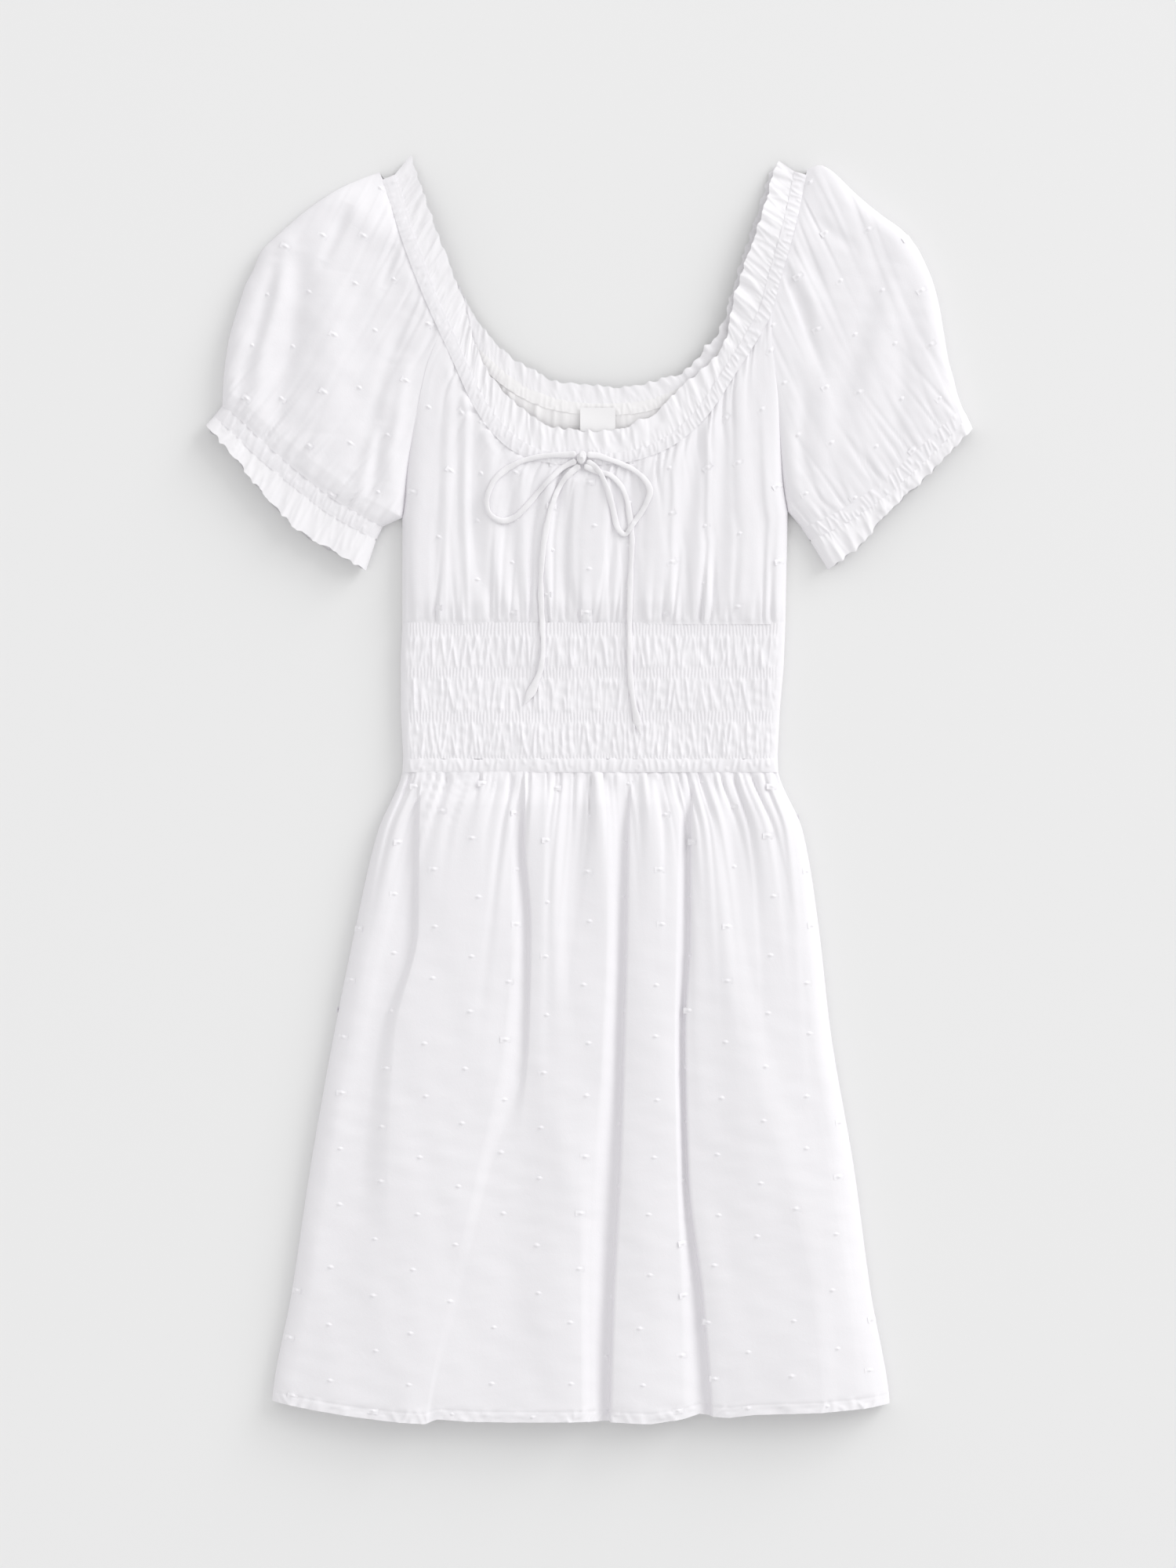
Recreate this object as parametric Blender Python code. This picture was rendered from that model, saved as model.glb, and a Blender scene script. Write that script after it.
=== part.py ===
"""Mini dress laid flat on its back: smocked waist, raglan sleeves, frilled neck and cuffs, tied bow.

Lengths in the tables are millimetres; the solids are built in metres, +Z up.
X runs to the right, Y from the hem to the neck, and Z = 0 is the surface it lies on.
"""
import bpy
import numpy as np
from mathutils import Vector
from mathutils.bvhtree import BVHTree

for old in list(bpy.data.objects):
    bpy.data.objects.remove(old, do_unlink=True)

MM = 0.001

# Cloth and seams (mm).
CLOTH = 1.3            # wall of the main panels
FRILL_CLOTH = 1.1      # wall of the frills
CASING_CLOTH = 2.0     # doubled cloth with its elastic
ELASTIC_CLOTH = 1.6    # the same where it is drawn together at the waist and the cuffs
GAP = 0.3              # room between two pieces at a seam
HALF_GAP = GAP / 2.0
SIDE = 5.0             # height of the side folds
FRONT_ROLL = 14.0      # width over which the front turns down to the side fold
BACK_ROLL = 6.0        # width over which the back turns up to it
MID = 11.5             # height of the smocked front
NECK = 13.0            # height of the front neck casing
SHOULDER = 4.5         # height of the front neck casing at the shoulders
CUFF = 11.0            # height of the cuff casings
SLEEVE_ROLL = 12.0     # width over which a sleeve or a cuff turns down to its fold
SLEEVE_TOP = 12.5      # height of a sleeve at the shoulder
SLEEVE_PUFF = 14.0     # height of a sleeve above the cuff

# Levels of the torso (mm).
CASING_LOW = 11.2      # waist casing to skirt
CASING_HIGH = 21.0     # waist casing to smocking
SMOCK_HIGH = 114.2     # smocking to bodice

# Skirt folds: x and height (mm) of each fold line at the levels in SKIRT_FOLDS_Y.
SKIRT_FOLDS_Y = [11.2, -29.7, -95.1, -171.4, -269.5, -356.7, -435.7]
SKIRT_FOLDS = [
    ("left side", [-130.0, -146.9, -162.1, -177.4, -194.3, -206.8, -220.4],
     [11, 12, 12, 12, 12, 12, 11]),
    ("left roll", [-125.1, -137.1, -149.0, -161.6, -177.9, -188.8, -199.7],
     [11, 13, 13, 13, 13, 13, 12]),
    ("valley a", [-119.6, -119.6, -124.0, -144.7, -158.9, -167.0, -177.9],
     [10, 9, 9, 9, 12, 13, 13]),
    ("ridge b", [-104.4, -101.1, -109.8, -133.8, -138.1, -137.1, -137.1],
     [13, 16, 17, 16, 16, 17, 17]),
    ("panel left", [-82.6, -76.0, -82.6, -93.5, -107.1, -118.0, -123.4],
     [12, 14, 16, 17, 18, 19, 20]),
    ("step top", [-60.8, -55.3, -54.2, -59.7, -79.3, -98.9, -113.6],
     [13, 15, 16, 17, 19, 20.5, 21]),
    ("valley c", [-46.0, -44.9, -44.4, -52.6, -69.5, -90.2, -106.0],
     [9, 8.5, 8.5, 8.5, 8.5, 8.5, 8.5]),
    ("c right", [-41.1, -39.5, -38.4, -37.9, -36.8, -35.7, -33.5],
     [10, 9.5, 9.5, 9.5, 10, 10, 10.5]),
    ("pressed crease", [-28.1, -27.0, -25.9, -23.7, -19.3, -16.6, -15.5],
     [13, 17, 17, 18, 18, 18.5, 19]),
    ("valley d", [-11.7, -12.8, -15.0, -10.1, -7.3, -6.3, -5.7],
     [10, 10, 12.5, 16.5, 16.5, 15, 14]),
    ("ridge e left", [9.0, 10.6, 11.7, 9.0, 3.0, 0.8, 1.4],
     [14, 17, 18, 18, 16, 13, 11]),
    ("valley e", [28.1, 25.9, 24.8, 21.5, 14.5, 10.1, 8.5],
     [8.5, 8, 8, 8, 8, 8, 8]),
    ("e right", [33.5, 31.9, 30.8, 28.1, 22.6, 18.8, 17.2],
     [11, 11, 11, 10.5, 10, 9.5, 9.5]),
    ("ridge f left", [49.3, 49.3, 48.2, 47.2, 44.4, 43.3, 41.7],
     [14, 17, 18, 19, 19.5, 20, 20]),
    ("f left", [63.0, 61.9, 60.2, 59.1, 60.8, 63.5, 64.6],
     [12, 12, 12, 13, 14, 14, 14]),
    ("valley f", [67.9, 66.2, 65.1, 65.1, 67.9, 73.3, 76.6],
     [9, 8, 8, 8, 8, 8, 8]),
    ("f right", [73.3, 72.2, 72.8, 75.0, 78.8, 83.1, 85.3],
     [12, 13, 13, 13, 13, 13.5, 14]),
    ("ridge f right", [78.8, 78.8, 80.9, 87.5, 96.2, 99.5, 98.4],
     [13, 16, 17, 18, 19, 20, 21]),
    ("ridge g", [84.2, 85.3, 90.8, 103.8, 134.4, 154.0, 160.0],
     [13, 17, 20, 22, 22, 22, 22]),
    ("valley h", [100.0, 100.0, 107.1, 125.6, 152.9, 168.1, 173.6],
     [10, 11, 15, 17, 18, 18, 17.5]),
    ("right panel", [116.4, 121.3, 128.9, 143.1, 166.0, 179.0, 186.7],
     [13, 14, 15, 16, 16, 16, 15]),
    ("right roll", [126.7, 139.8, 149.6, 158.3, 173.6, 185.6, 196.5],
     [11, 13, 13, 13, 13, 13, 12]),
    ("right side", [131.6, 148.5, 159.4, 168.1, 184.5, 195.9, 209.0],
     [11, 12, 12, 12, 12, 12, 11]),
]

# Bodice folds: x and height (mm) of each fold line at the levels in BODICE_FOLDS_Y.
BODICE_FOLDS_Y = [319.1, 275.5, 242.8, 199.2, 155.6, 114.2]
BODICE_FOLDS = [
    ("left edge", [-103.3, -116.9, -123.4, -128.3, -130.0, -130.0],
     [13, 13, 13, 13, 13, 12]),
    ("valley 1", [-96.2, -101.6, -104.4, -105.4, -106.5, -106.5],
     [13, 12, 11, 10, 10, 10]),
    ("ridge 1", [-88.0, -95.6, -98.4, -98.9, -99.4, -98.9],
     [14, 14, 14, 14, 14, 12]),
    ("valley 2", [-81.5, -90.2, -91.8, -91.8, -90.7, -89.6],
     [12, 11, 10, 10, 10, 10]),
    ("ridge 2", [-76.0, -84.2, -85.8, -86.4, -84.7, -80.9],
     [14, 15, 15, 15, 15, 13]),
    ("valley 3", [-70.6, -78.2, -79.8, -80.9, -77.6, -61.8],
     [12, 10, 9, 8.5, 9, 10]),
    ("ridge 3", [-60.8, -67.3, -68.4, -68.4, -65.1, -54.8],
     [16, 16, 17, 17, 16, 13]),
    ("valley 4", [-52.6, -57.5, -58.0, -56.4, -53.1, -47.1],
     [12, 11, 10, 9, 9, 10]),
    ("ridge 4", [-44.4, -45.5, -46.0, -46.0, -45.5, -41.1],
     [14, 15, 16, 16, 14, 12]),
    ("valley 5", [-33.5, -34.6, -36.2, -37.9, -39.0, -34.6],
     [13, 13, 12, 11, 9, 10]),
    ("ridge 5", [-25.3, -26.4, -27.0, -28.1, -29.1, -25.9],
     [14, 15, 16, 16, 15, 13]),
    ("valley 6", [-19.3, -19.3, -19.3, -18.2, -19.3, -9.0],
     [12, 11, 10, 8.5, 8.5, 9]),
    ("bulge left", [-11.7, -11.7, -11.7, -10.1, -10.1, -4.6],
     [14, 15, 16, 18, 17, 13]),
    ("bulge right", [10.1, 11.2, 12.8, 12.8, 9.0, 1.4],
     [14, 15, 16, 19, 18, 14]),
    ("bulge foot", [19.9, 19.4, 18.8, 18.3, 15.0, 7.9],
     [12, 12, 12, 11, 10, 10]),
    ("ridge 6", [26.4, 25.4, 24.8, 23.2, 19.4, 15.5],
     [14, 14, 14, 14, 12, 13]),
    ("valley 7", [33.0, 31.9, 30.8, 28.1, 24.3, 24.3],
     [12, 12, 12, 11, 9, 9]),
    ("ridge 7", [48.2, 48.2, 47.2, 46.1, 43.9, 41.7],
     [15, 16, 17, 18, 17, 13]),
    ("ridge 8", [60.2, 60.2, 60.2, 58.1, 55.3, 53.7],
     [14, 15, 16, 16, 15, 12]),
    ("valley 8", [75.5, 75.5, 74.4, 69.5, 63.5, 62.4],
     [12, 11, 9, 8.5, 8.5, 9]),
    ("ridge 9", [83.7, 84.2, 83.1, 80.9, 76.6, 75.5],
     [15, 16, 17, 17, 16, 13]),
    ("valley 9", [95.1, 94.6, 94.0, 92.9, 90.2, 89.1],
     [12, 10, 9, 8.5, 8.5, 9.5]),
    ("ridge 10", [104.9, 103.8, 103.3, 103.3, 102.7, 101.7],
     [15, 15, 16, 16, 15, 13]),
    ("valley 10", [112.6, 113.1, 113.6, 116.4, 120.2, 118.0],
     [13, 13, 12, 11, 11, 11]),
    ("ridge 11", [120.2, 122.9, 125.1, 127.3, 128.9, 127.3],
     [14, 14, 14, 14, 13, 12]),
    ("right edge", [126.7, 130.5, 133.3, 136.0, 137.1, 136.5],
     [13, 13, 13, 13, 13, 12]),
]

# Lower edge of the skirt.
HEM = [  # x, y
    (-220.4, -425.9), (-191.6, -431.4), (-164.3, -435.7), (-137.1, -439.0), (-113.6, -440.6),
    (-106.0, -437.4), (-82.6, -439.0), (-55.3, -439.5), (-3.5, -439.0), (15.5, -439.5),
    (42.8, -440.6), (64.6, -437.4), (76.6, -434.1), (85.3, -435.7), (97.3, -436.3), (113.6, -434.1),
    (162.7, -432.5), (189.9, -430.3), (209.0, -427.6),
]

# Left raglan seam of the front, from the underarm to the neck casing.
RAGLAN_LEFT = [  # x, y
    (-130.0, 188.3), (-128.3, 200.8), (-126.7, 221.0), (-123.4, 242.8), (-119.1, 264.6),
    (-113.1, 291.8), (-107.6, 307.1), (-103.3, 316.4),
]

# Right raglan seam of the front, from the underarm to the neck casing.
RAGLAN_RIGHT = [  # x, y
    (138.2, 192.7), (135.4, 210.1), (133.8, 231.9), (132.7, 251.0), (131.1, 272.8), (128.4, 294.6),
    (126.7, 313.6), (126.7, 331.1),
]

# Left raglan seam of the back.
RAGLAN_LEFT_BACK = [  # x, y
    (-130.0, 188.3), (-126.2, 204.6), (-120.7, 226.4), (-114.7, 251.0), (-108.7, 275.5),
    (-102.7, 297.3), (-98.9, 308.2), (-95.6, 316.4),
]

# Right raglan seam of the back.
RAGLAN_RIGHT_BACK = [  # x, y
    (138.2, 192.7), (134.4, 207.4), (130.0, 226.4), (126.2, 248.2), (122.9, 270.0), (119.1, 289.1),
    (115.3, 303.8), (110.9, 319.1),
]

# Seam under the front neck casing, from the left shoulder round to the right.
NECK_SEAM = [  # x, y
    (-143.6, 423.7), (-137.1, 405.2), (-131.1, 385.6), (-124.0, 365.4), (-115.3, 343.6),
    (-108.7, 328.4), (-103.3, 316.4), (-94.5, 297.3), (-86.9, 279.9), (-79.3, 264.6),
    (-68.9, 249.3), (-55.3, 236.3), (-39.0, 228.6), (-19.9, 225.4), (-0.8, 224.8), (21.0, 225.9),
    (40.1, 230.3), (56.4, 237.3), (70.0, 247.2), (82.0, 259.1), (91.8, 272.8), (101.7, 288.6),
    (112.0, 304.4), (120.2, 318.0), (126.7, 331.1), (130.5, 346.3), (134.4, 360.0), (139.8, 379.0),
    (145.3, 400.8), (150.7, 427.0),
]

# Line between the front neck casing and its frill.
NECK_FRILL_BASE = [  # x, y
    (-135.4, 427.0), (-129.4, 409.0), (-123.4, 388.9), (-116.3, 369.2), (-108.7, 348.5),
    (-102.2, 332.7), (-96.2, 320.2), (-88.0, 301.7), (-80.4, 284.2), (-72.7, 269.5), (-62.9, 255.9),
    (-50.9, 243.9), (-36.8, 235.7), (-19.3, 232.4), (-0.8, 231.9), (21.0, 233.0), (38.4, 236.8),
    (52.6, 243.3), (65.1, 252.6), (76.0, 264.1), (85.3, 277.7), (95.1, 292.9), (104.9, 308.2),
    (112.6, 321.8), (119.1, 334.4), (122.9, 348.5), (126.7, 362.2), (132.2, 381.2), (137.6, 402.5),
    (143.1, 429.2),
]

# Free edge of the front neck frill.
NECK_FRILL_EDGE = [  # x, y
    (-124.0, 440.6), (-116.3, 417.2), (-108.2, 393.8), (-100.0, 372.5), (-92.4, 351.8),
    (-88.5, 336.5), (-88.5, 323.5), (-85.8, 305.5), (-79.3, 289.7), (-71.7, 277.1), (-57.5, 265.7),
    (-45.5, 258.6), (-32.4, 253.7), (-18.2, 249.9), (-0.8, 247.7), (21.0, 249.9), (34.6, 254.8),
    (46.1, 261.3), (54.8, 269.5), (63.5, 278.8), (73.3, 286.9), (82.6, 295.1), (90.8, 303.8),
    (95.7, 315.3), (97.8, 328.4), (101.1, 342.0), (106.0, 358.3), (112.6, 378.5), (120.2, 399.8),
    (131.1, 437.4),
]

# Seam under the back neck casing.
BACK_SEAM = [  # x, y
    (-142.5, 423.7), (-136.5, 405.2), (-130.5, 385.6), (-123.4, 365.4), (-114.7, 345.3),
    (-106.0, 328.9), (-95.6, 316.4), (-86.9, 305.5), (-76.0, 294.0), (-65.1, 284.2), (-53.1, 275.0),
    (-36.8, 266.8), (-19.9, 261.9), (-0.8, 259.7), (21.0, 259.7), (40.1, 261.9), (58.1, 267.9),
    (74.4, 276.0), (88.6, 288.6), (100.0, 303.8), (110.9, 319.1), (116.9, 332.2), (122.4, 347.4),
    (128.9, 368.1), (134.4, 385.6), (140.4, 405.2), (150.2, 427.0),
]

# Line between the back neck casing and its frill.
BACK_FRILL_BASE = [  # x, y
    (-135.4, 427.0), (-130.0, 407.9), (-124.0, 388.9), (-116.9, 368.7), (-108.2, 349.1),
    (-100.0, 333.8), (-90.2, 321.3), (-81.5, 310.4), (-70.6, 299.5), (-60.2, 290.2), (-49.3, 282.0),
    (-34.0, 274.4), (-18.2, 269.5), (-0.8, 267.3), (21.0, 267.3), (38.4, 269.5), (55.3, 275.0),
    (70.0, 282.6), (82.6, 294.0), (93.5, 308.7), (104.4, 322.9), (109.8, 336.0), (114.7, 350.7),
    (121.3, 370.3), (127.3, 387.8), (133.3, 407.9), (142.5, 430.3),
]

# Free edge of the back neck frill.
BACK_FRILL_EDGE = [  # x, y
    (-126.7, 437.4), (-119.6, 415.6), (-112.5, 395.4), (-104.4, 374.7), (-94.5, 356.2),
    (-86.9, 342.0), (-79.3, 328.9), (-71.1, 316.9), (-60.8, 305.5), (-49.9, 296.8), (-36.8, 289.7),
    (-25.3, 283.7), (-11.7, 282.0), (1.9, 280.4), (19.9, 278.8), (36.3, 280.9), (52.6, 284.8),
    (65.7, 289.7), (75.5, 299.5), (84.2, 309.8), (91.8, 320.7), (96.2, 333.8), (100.6, 350.7),
    (107.1, 370.3), (113.1, 388.9), (119.1, 408.5), (127.8, 432.5),
]

# Outer fold of the left sleeve, from the neck to the cuff.
SLEEVE_LEFT_FOLD = [  # x, y
    (-145.8, 428.6), (-153.4, 425.9), (-167.0, 420.5), (-177.9, 415.0), (-188.8, 407.9),
    (-199.7, 399.8), (-207.9, 392.7), (-221.5, 380.7), (-228.1, 373.6), (-234.1, 360.0),
    (-239.0, 350.7), (-243.3, 337.6), (-247.7, 323.5), (-251.0, 310.9), (-253.1, 297.3),
    (-254.8, 280.9), (-255.3, 266.2),
]

# Outer fold of the right sleeve, from the neck to the cuff.
SLEEVE_RIGHT_FOLD = [  # x, y
    (151.8, 430.3), (159.4, 433.5), (166.0, 431.4), (173.6, 425.4), (182.3, 416.7), (192.7, 407.4),
    (203.6, 398.7), (217.2, 388.9), (227.0, 378.0), (233.0, 367.1), (239.0, 352.9), (243.4, 336.5),
    (246.6, 318.0), (249.9, 298.4), (253.2, 286.4), (256.4, 273.9), (259.7, 264.6),
]

# Left cuff: end of the sleeve, from underarm to outer fold.
CUFF_LEFT_SEAM = [  # x, y
    (-144.1, 181.8), (-175.2, 199.2), (-199.7, 217.7), (-224.3, 238.4), (-241.7, 255.3),
    (-255.3, 266.2),
]

# Left cuff: line between casing and frill.
CUFF_LEFT_CASING = [  # x, y
    (-148.5, 173.0), (-180.7, 191.0), (-205.7, 210.1), (-230.8, 230.8), (-247.7, 247.2),
    (-260.8, 259.1),
]

# Left cuff: free edge of the frill.
CUFF_LEFT_EDGE = [  # x, y
    (-155.6, 151.8), (-177.9, 164.9), (-202.5, 179.6), (-228.1, 206.8), (-247.1, 230.8),
    (-266.8, 252.6),
]

# Right cuff: end of the sleeve, from underarm to outer fold.
CUFF_RIGHT_SEAM = [  # x, y
    (148.5, 180.7), (173.6, 192.7), (198.1, 209.0), (222.6, 230.3), (244.4, 251.0), (259.7, 264.6),
]

# Right cuff: line between casing and frill.
CUFF_RIGHT_CASING = [  # x, y
    (154.0, 172.5), (179.0, 185.0), (204.1, 201.9), (228.6, 223.2), (249.9, 244.4), (263.0, 258.6),
]

# Right cuff: free edge of the frill.
CUFF_RIGHT_EDGE = [  # x, y
    (166.5, 152.3), (188.9, 169.8), (209.6, 193.7), (233.5, 215.5), (251.5, 234.6), (266.8, 250.4),
]

# Left sleeve: ridges raise the cloth and valleys lower it along a route.
SLEEVE_LEFT_FOLDS = [  # name, height change (mm), half width (mm), route (x, y)
    ("outer valley", -3, 5,
     [(-217.7, 368.1), (-223.2, 340.9), (-230.8, 313.6), (-240.6, 286.4), (-245.0, 269.0)]),
    ("outer ridge", 3, 6, [(-210.1, 378.0), (-216.6, 340.9), (-225.9, 308.2), (-231.9, 267.3)]),
    ("broad valley", -4, 8,
     [(-200.3, 376.3), (-202.5, 340.9), (-207.9, 302.7), (-215.5, 270.0), (-218.8, 248.2)]),
    ("broad ridge", 5, 16, [(-174.1, 362.7), (-178.5, 330.0), (-181.7, 291.8), (-185.0, 242.8)]),
    ("shoulder valley", -3, 5, [(-166.5, 407.4), (-176.3, 384.5), (-185.0, 365.4)]),
    ("casing valley", -2, 4, [(-134.3, 379.0), (-143.6, 346.3)]),
    ("long valley", -4, 6,
     [(-127.2, 330.0), (-135.4, 305.5), (-142.5, 280.9), (-152.3, 242.8), (-167.0, 218.3)]),
    ("long ridge", 4, 6, [(-135.4, 297.3), (-143.6, 264.6), (-155.6, 221.0), (-164.3, 204.6)]),
    ("inner valley", -3, 4, [(-144.1, 253.7), (-149.0, 221.0), (-153.4, 199.2)]),
    ("inner ridge", 3, 5, [(-126.2, 297.3), (-132.7, 259.1), (-141.4, 210.1)]),
]

# Right sleeve: ridges raise the cloth and valleys lower it along a route.
SLEEVE_RIGHT_FOLDS = [  # name, height change (mm), half width (mm), route (x, y)
    ("shoulder valley", -3, 5, [(158.3, 395.4), (169.2, 385.6), (184.5, 374.7)]),
    ("deep valley", -5, 5, [(137.1, 357.2), (143.1, 343.6), (148.5, 330.0), (152.9, 313.6), (160.0, 292.9)]),
    ("second valley", -3, 5, [(147.4, 374.7), (155.1, 361.6), (161.6, 345.3)]),
    ("between ridge", 3, 5, [(142.0, 365.4), (151.8, 346.3), (160.0, 324.5)]),
    ("broad valley", -3, 9, [(205.2, 365.4), (195.4, 335.4), (187.2, 308.2), (176.3, 275.5), (163.8, 248.2)]),
    ("broad ridge", 4, 12, [(214.5, 368.1), (205.2, 330.0), (195.4, 286.4), (181.8, 242.8)]),
    ("inner valley", -3, 5, [(143.1, 291.8), (149.1, 272.8), (147.4, 242.8), (149.1, 215.5)]),
    ("inner ridge", 4, 8, [(162.7, 286.4), (163.8, 253.7), (160.0, 221.0)]),
    ("outer ridge", 3, 8, [(231.4, 330.0), (235.7, 302.7), (232.5, 264.6)]),
    ("outer valley", -3, 6, [(217.2, 308.2), (217.2, 275.5), (211.7, 242.8)]),
]

# Left loop of the bow, from the knot round and back.
TIE_LOOP_LEFT = [  # x, y
    (-8.6, 231.6), (-16.1, 231.4), (-28.1, 230.8), (-43.3, 228.1), (-58.0, 221.0), (-67.3, 211.2),
    (-71.1, 199.2), (-68.9, 190.5), (-60.8, 185.6), (-52.0, 187.8), (-43.3, 195.9), (-33.5, 207.4),
    (-22.6, 218.8), (-13.9, 225.4), (-8.6, 227.1),
]

# Right loop of the bow, from the knot round and back.
TIE_LOOP_RIGHT = [  # x, y
    (-1.8, 231.6), (5.7, 230.8), (15.5, 227.5), (28.1, 222.6), (37.3, 215.5), (42.3, 205.7),
    (38.4, 195.4), (30.8, 183.9), (23.7, 175.2), (19.4, 181.8), (15.5, 198.1), (10.6, 212.8),
    (5.2, 222.1), (-1.8, 227.1),
]

# Left tail of the bow, from the knot down.
TIE_TAIL_LEFT = [  # x, y
    (-6.2, 224.2), (-11.2, 220.5), (-17.7, 213.9), (-23.1, 203.6), (-28.1, 188.3), (-31.9, 165.4),
    (-33.5, 142.5), (-33.0, 121.3), (-31.9, 100.6), (-33.5, 83.7), (-39.5, 68.4), (-45.5, 57.5),
]

# Right tail of the bow, from the knot down.
TIE_TAIL_RIGHT = [  # x, y
    (-3.6, 224.2), (0.3, 221.0), (7.9, 219.4), (15.5, 216.6), (21.5, 210.6), (25.9, 201.4),
    (28.1, 188.3), (29.7, 171.9), (28.6, 142.5), (28.1, 121.3), (28.1, 100.6), (28.6, 79.3),
    (30.8, 59.1), (35.7, 36.8),
]

# Side folds of the smocked torso.
TORSO_LEFT = [(-130.0, 11.2), (-129.4, 22.1), (-131.1, 54.8), (-131.1, 90.2), (-130.0, 114.2)]  # x, y
TORSO_RIGHT = [(131.6, 11.2), (131.1, 22.1), (132.7, 54.8), (135.4, 84.7), (136.5, 114.2)]

# Label, knot and tie.
LABEL_BOX = (-6.3, 18.2, 246.5, 264.5)  # left, right, lower and upper edge
LABEL_THICK = 0.6
TIE_KNOT = (-5.2, 229.4)
KNOT_SIZE = (3.0, 4.2, 3.2)  # half sizes
TIE_RADIUS = 2.1

# Smocking: level (mm) of each row, how far it puffs up, and how high its puckers are.
SMOCK_ROWS = [  # y, puff, pucker
    (21.3, -0.6, 0.5),
    (33.0, 0.9, 0.9),
    (46.0, -0.4, 0.5),
    (53.0, -0.4, 0.5),
    (65.0, 1.0, 0.9),
    (76.5, -0.4, 0.5),
    (83.5, -0.4, 0.5),
    (95.0, 1.0, 0.9),
    (106.0, -0.4, 0.5),
    (113.9, -0.4, 0.5),
]
SMOCK_COLUMNS = 44
CASING_COLUMNS = 30
CASING_ROWS = [  # y, puff, pucker
    (CASING_LOW + HALF_GAP, 0.0, 0.4),
    (16.1, 0.5, 0.6),
    (CASING_HIGH - HALF_GAP, 0.0, 0.4),
]
PUFF_BASE = 0.6        # how far the smocked cloth stands above its inside everywhere

# Distance below the waist (mm) of each row of points in the skirt.
SKIRT_ROWS = [0.0, 8.0, 20.0, 40.0, 75.0, 125.0, 190.0, 260.0, 330.0, 395.0, 449.0]

# Fractions of the way from the smocking to the underarm.
BODICE_LOW_ROWS = [0.0, 0.1, 0.25, 0.5, 0.78]

# Sleeve rows along the neck casing (fractions of that edge), from the shoulder down.
NECK_EDGE_ROWS = [0.0, 0.2, 0.42, 0.65, 0.85]
RAGLAN_POINTS = 6

GATHER = 1.6           # height of the gathers at a seam
GATHER_REACH = 22.0    # distance over which they fade
FRILL_WAVE = 2.2       # height of the waves at a frill's edge
BACK_STEPS = [0.0, 0.6, 2.4, 6.5]      # distances (mm) of the first points of a back panel from its side fold
FRONT_STEPS = [0.0, 0.5, 2.0, 6.0]     # the same for the smocked front
FAN = [0.0, 0.05, 0.22, 0.55]          # shares of the sleeve's roll at which its points lie
BACK_FAN = [0.0, 0.1, 0.42]            # the same under the sleeve
SLEEVE_COLUMNS = 10    # columns of points between the two rolls of a sleeve's front
UNDER_COLUMNS = 6      # the same under it
FRONT_POINTS = 2 * len(FAN) + SLEEVE_COLUMNS
SLEEVE_SPAN = 75.0     # width at which a sleeve reaches its full height
FADE = 12.0            # distance over which puckers rise from a side fold
BACK_REACH = 30.0      # the same as TORSO_REACH for the bodice back
CUFF_POINTS = 12       # points along a cuff's lines
TAIL_DROP = 1.1        # start of the tie's tails below the knot's middle
LOOP_RISE = 1.2        # start of the tie's loops above it
TIE_CLEAR = 0.8        # how far beside the tie the cloth under it is felt
SKIRT_FALL = 60.0      # distance below the waist from which the rows of the skirt bend to the hem
SEAM_EASE = 20.0       # distance over which a panel's folds rise from its seam
TIE_LIFT = 0.1         # extra room under the tie
TIE_SAG = 0.5          # how far the tie may hang between two points
PLUMB_LIMIT = 1.7      # most that a straight-down wall is thickened where the cloth is steep
BACK_COLUMNS = 22      # columns of points of the bodice back
TORSO_REACH = 26.0     # distance over which the bodice's plan is moved to its side lines

CLOTH_WHITE = (0.93, 0.925, 0.91, 1.0)
LABEL_WHITE = (0.95, 0.95, 0.95, 1.0)

dress = bpy.data.collections.new("mini_dress")
bpy.context.scene.collection.children.link(dress)


def material(name, colour, roughness):
    """A plain cloth colour."""
    made = bpy.data.materials.new(name)
    made.use_nodes = True
    shader = made.node_tree.nodes["Principled BSDF"]
    shader.inputs["Base Color"].default_value = colour
    shader.inputs["Roughness"].default_value = roughness
    return made


def ease(t):
    """Smooth step from 0 to 1."""
    t = np.clip(t, 0.0, 1.0)
    return t * t * (3.0 - 2.0 * t)


def curve(points):
    """Smooth path through points (Catmull-Rom), as a dense list."""
    p = np.array(points, float)
    p = np.vstack([2 * p[0] - p[1], p, 2 * p[-1] - p[-2]])
    dense = []
    for i in range(1, len(p) - 2):
        for t in np.arange(0.0, 1.0, 0.1):
            a = 2 * p[i]
            b = p[i + 1] - p[i - 1]
            c = 2 * p[i - 1] - 5 * p[i] + 4 * p[i + 1] - p[i + 2]
            d = -p[i - 1] + 3 * p[i] - 3 * p[i + 1] + p[i + 2]
            dense.append(0.5 * (a + b * t + c * t * t + d * t ** 3))
    dense.append(p[-2])
    return np.array(dense)


def along(points, fractions):
    """Points of a smooth path at fractions of its length."""
    dense = curve(points)
    steps = np.linalg.norm(np.diff(dense, axis=0), axis=1)
    length = np.concatenate([[0.0], np.cumsum(steps)])
    wanted = np.asarray(fractions, float) * length[-1]
    return np.stack([np.interp(wanted, length, dense[:, k]) for k in range(dense.shape[1])], axis=-1)


def shifted(path, distance):
    """Path moved sideways to its left by a distance, keeping its points."""
    step = np.gradient(path, axis=0)
    step /= np.linalg.norm(step, axis=1)[:, None]
    return path + distance * np.stack([-step[:, 1], step[:, 0]], axis=-1)


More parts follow.
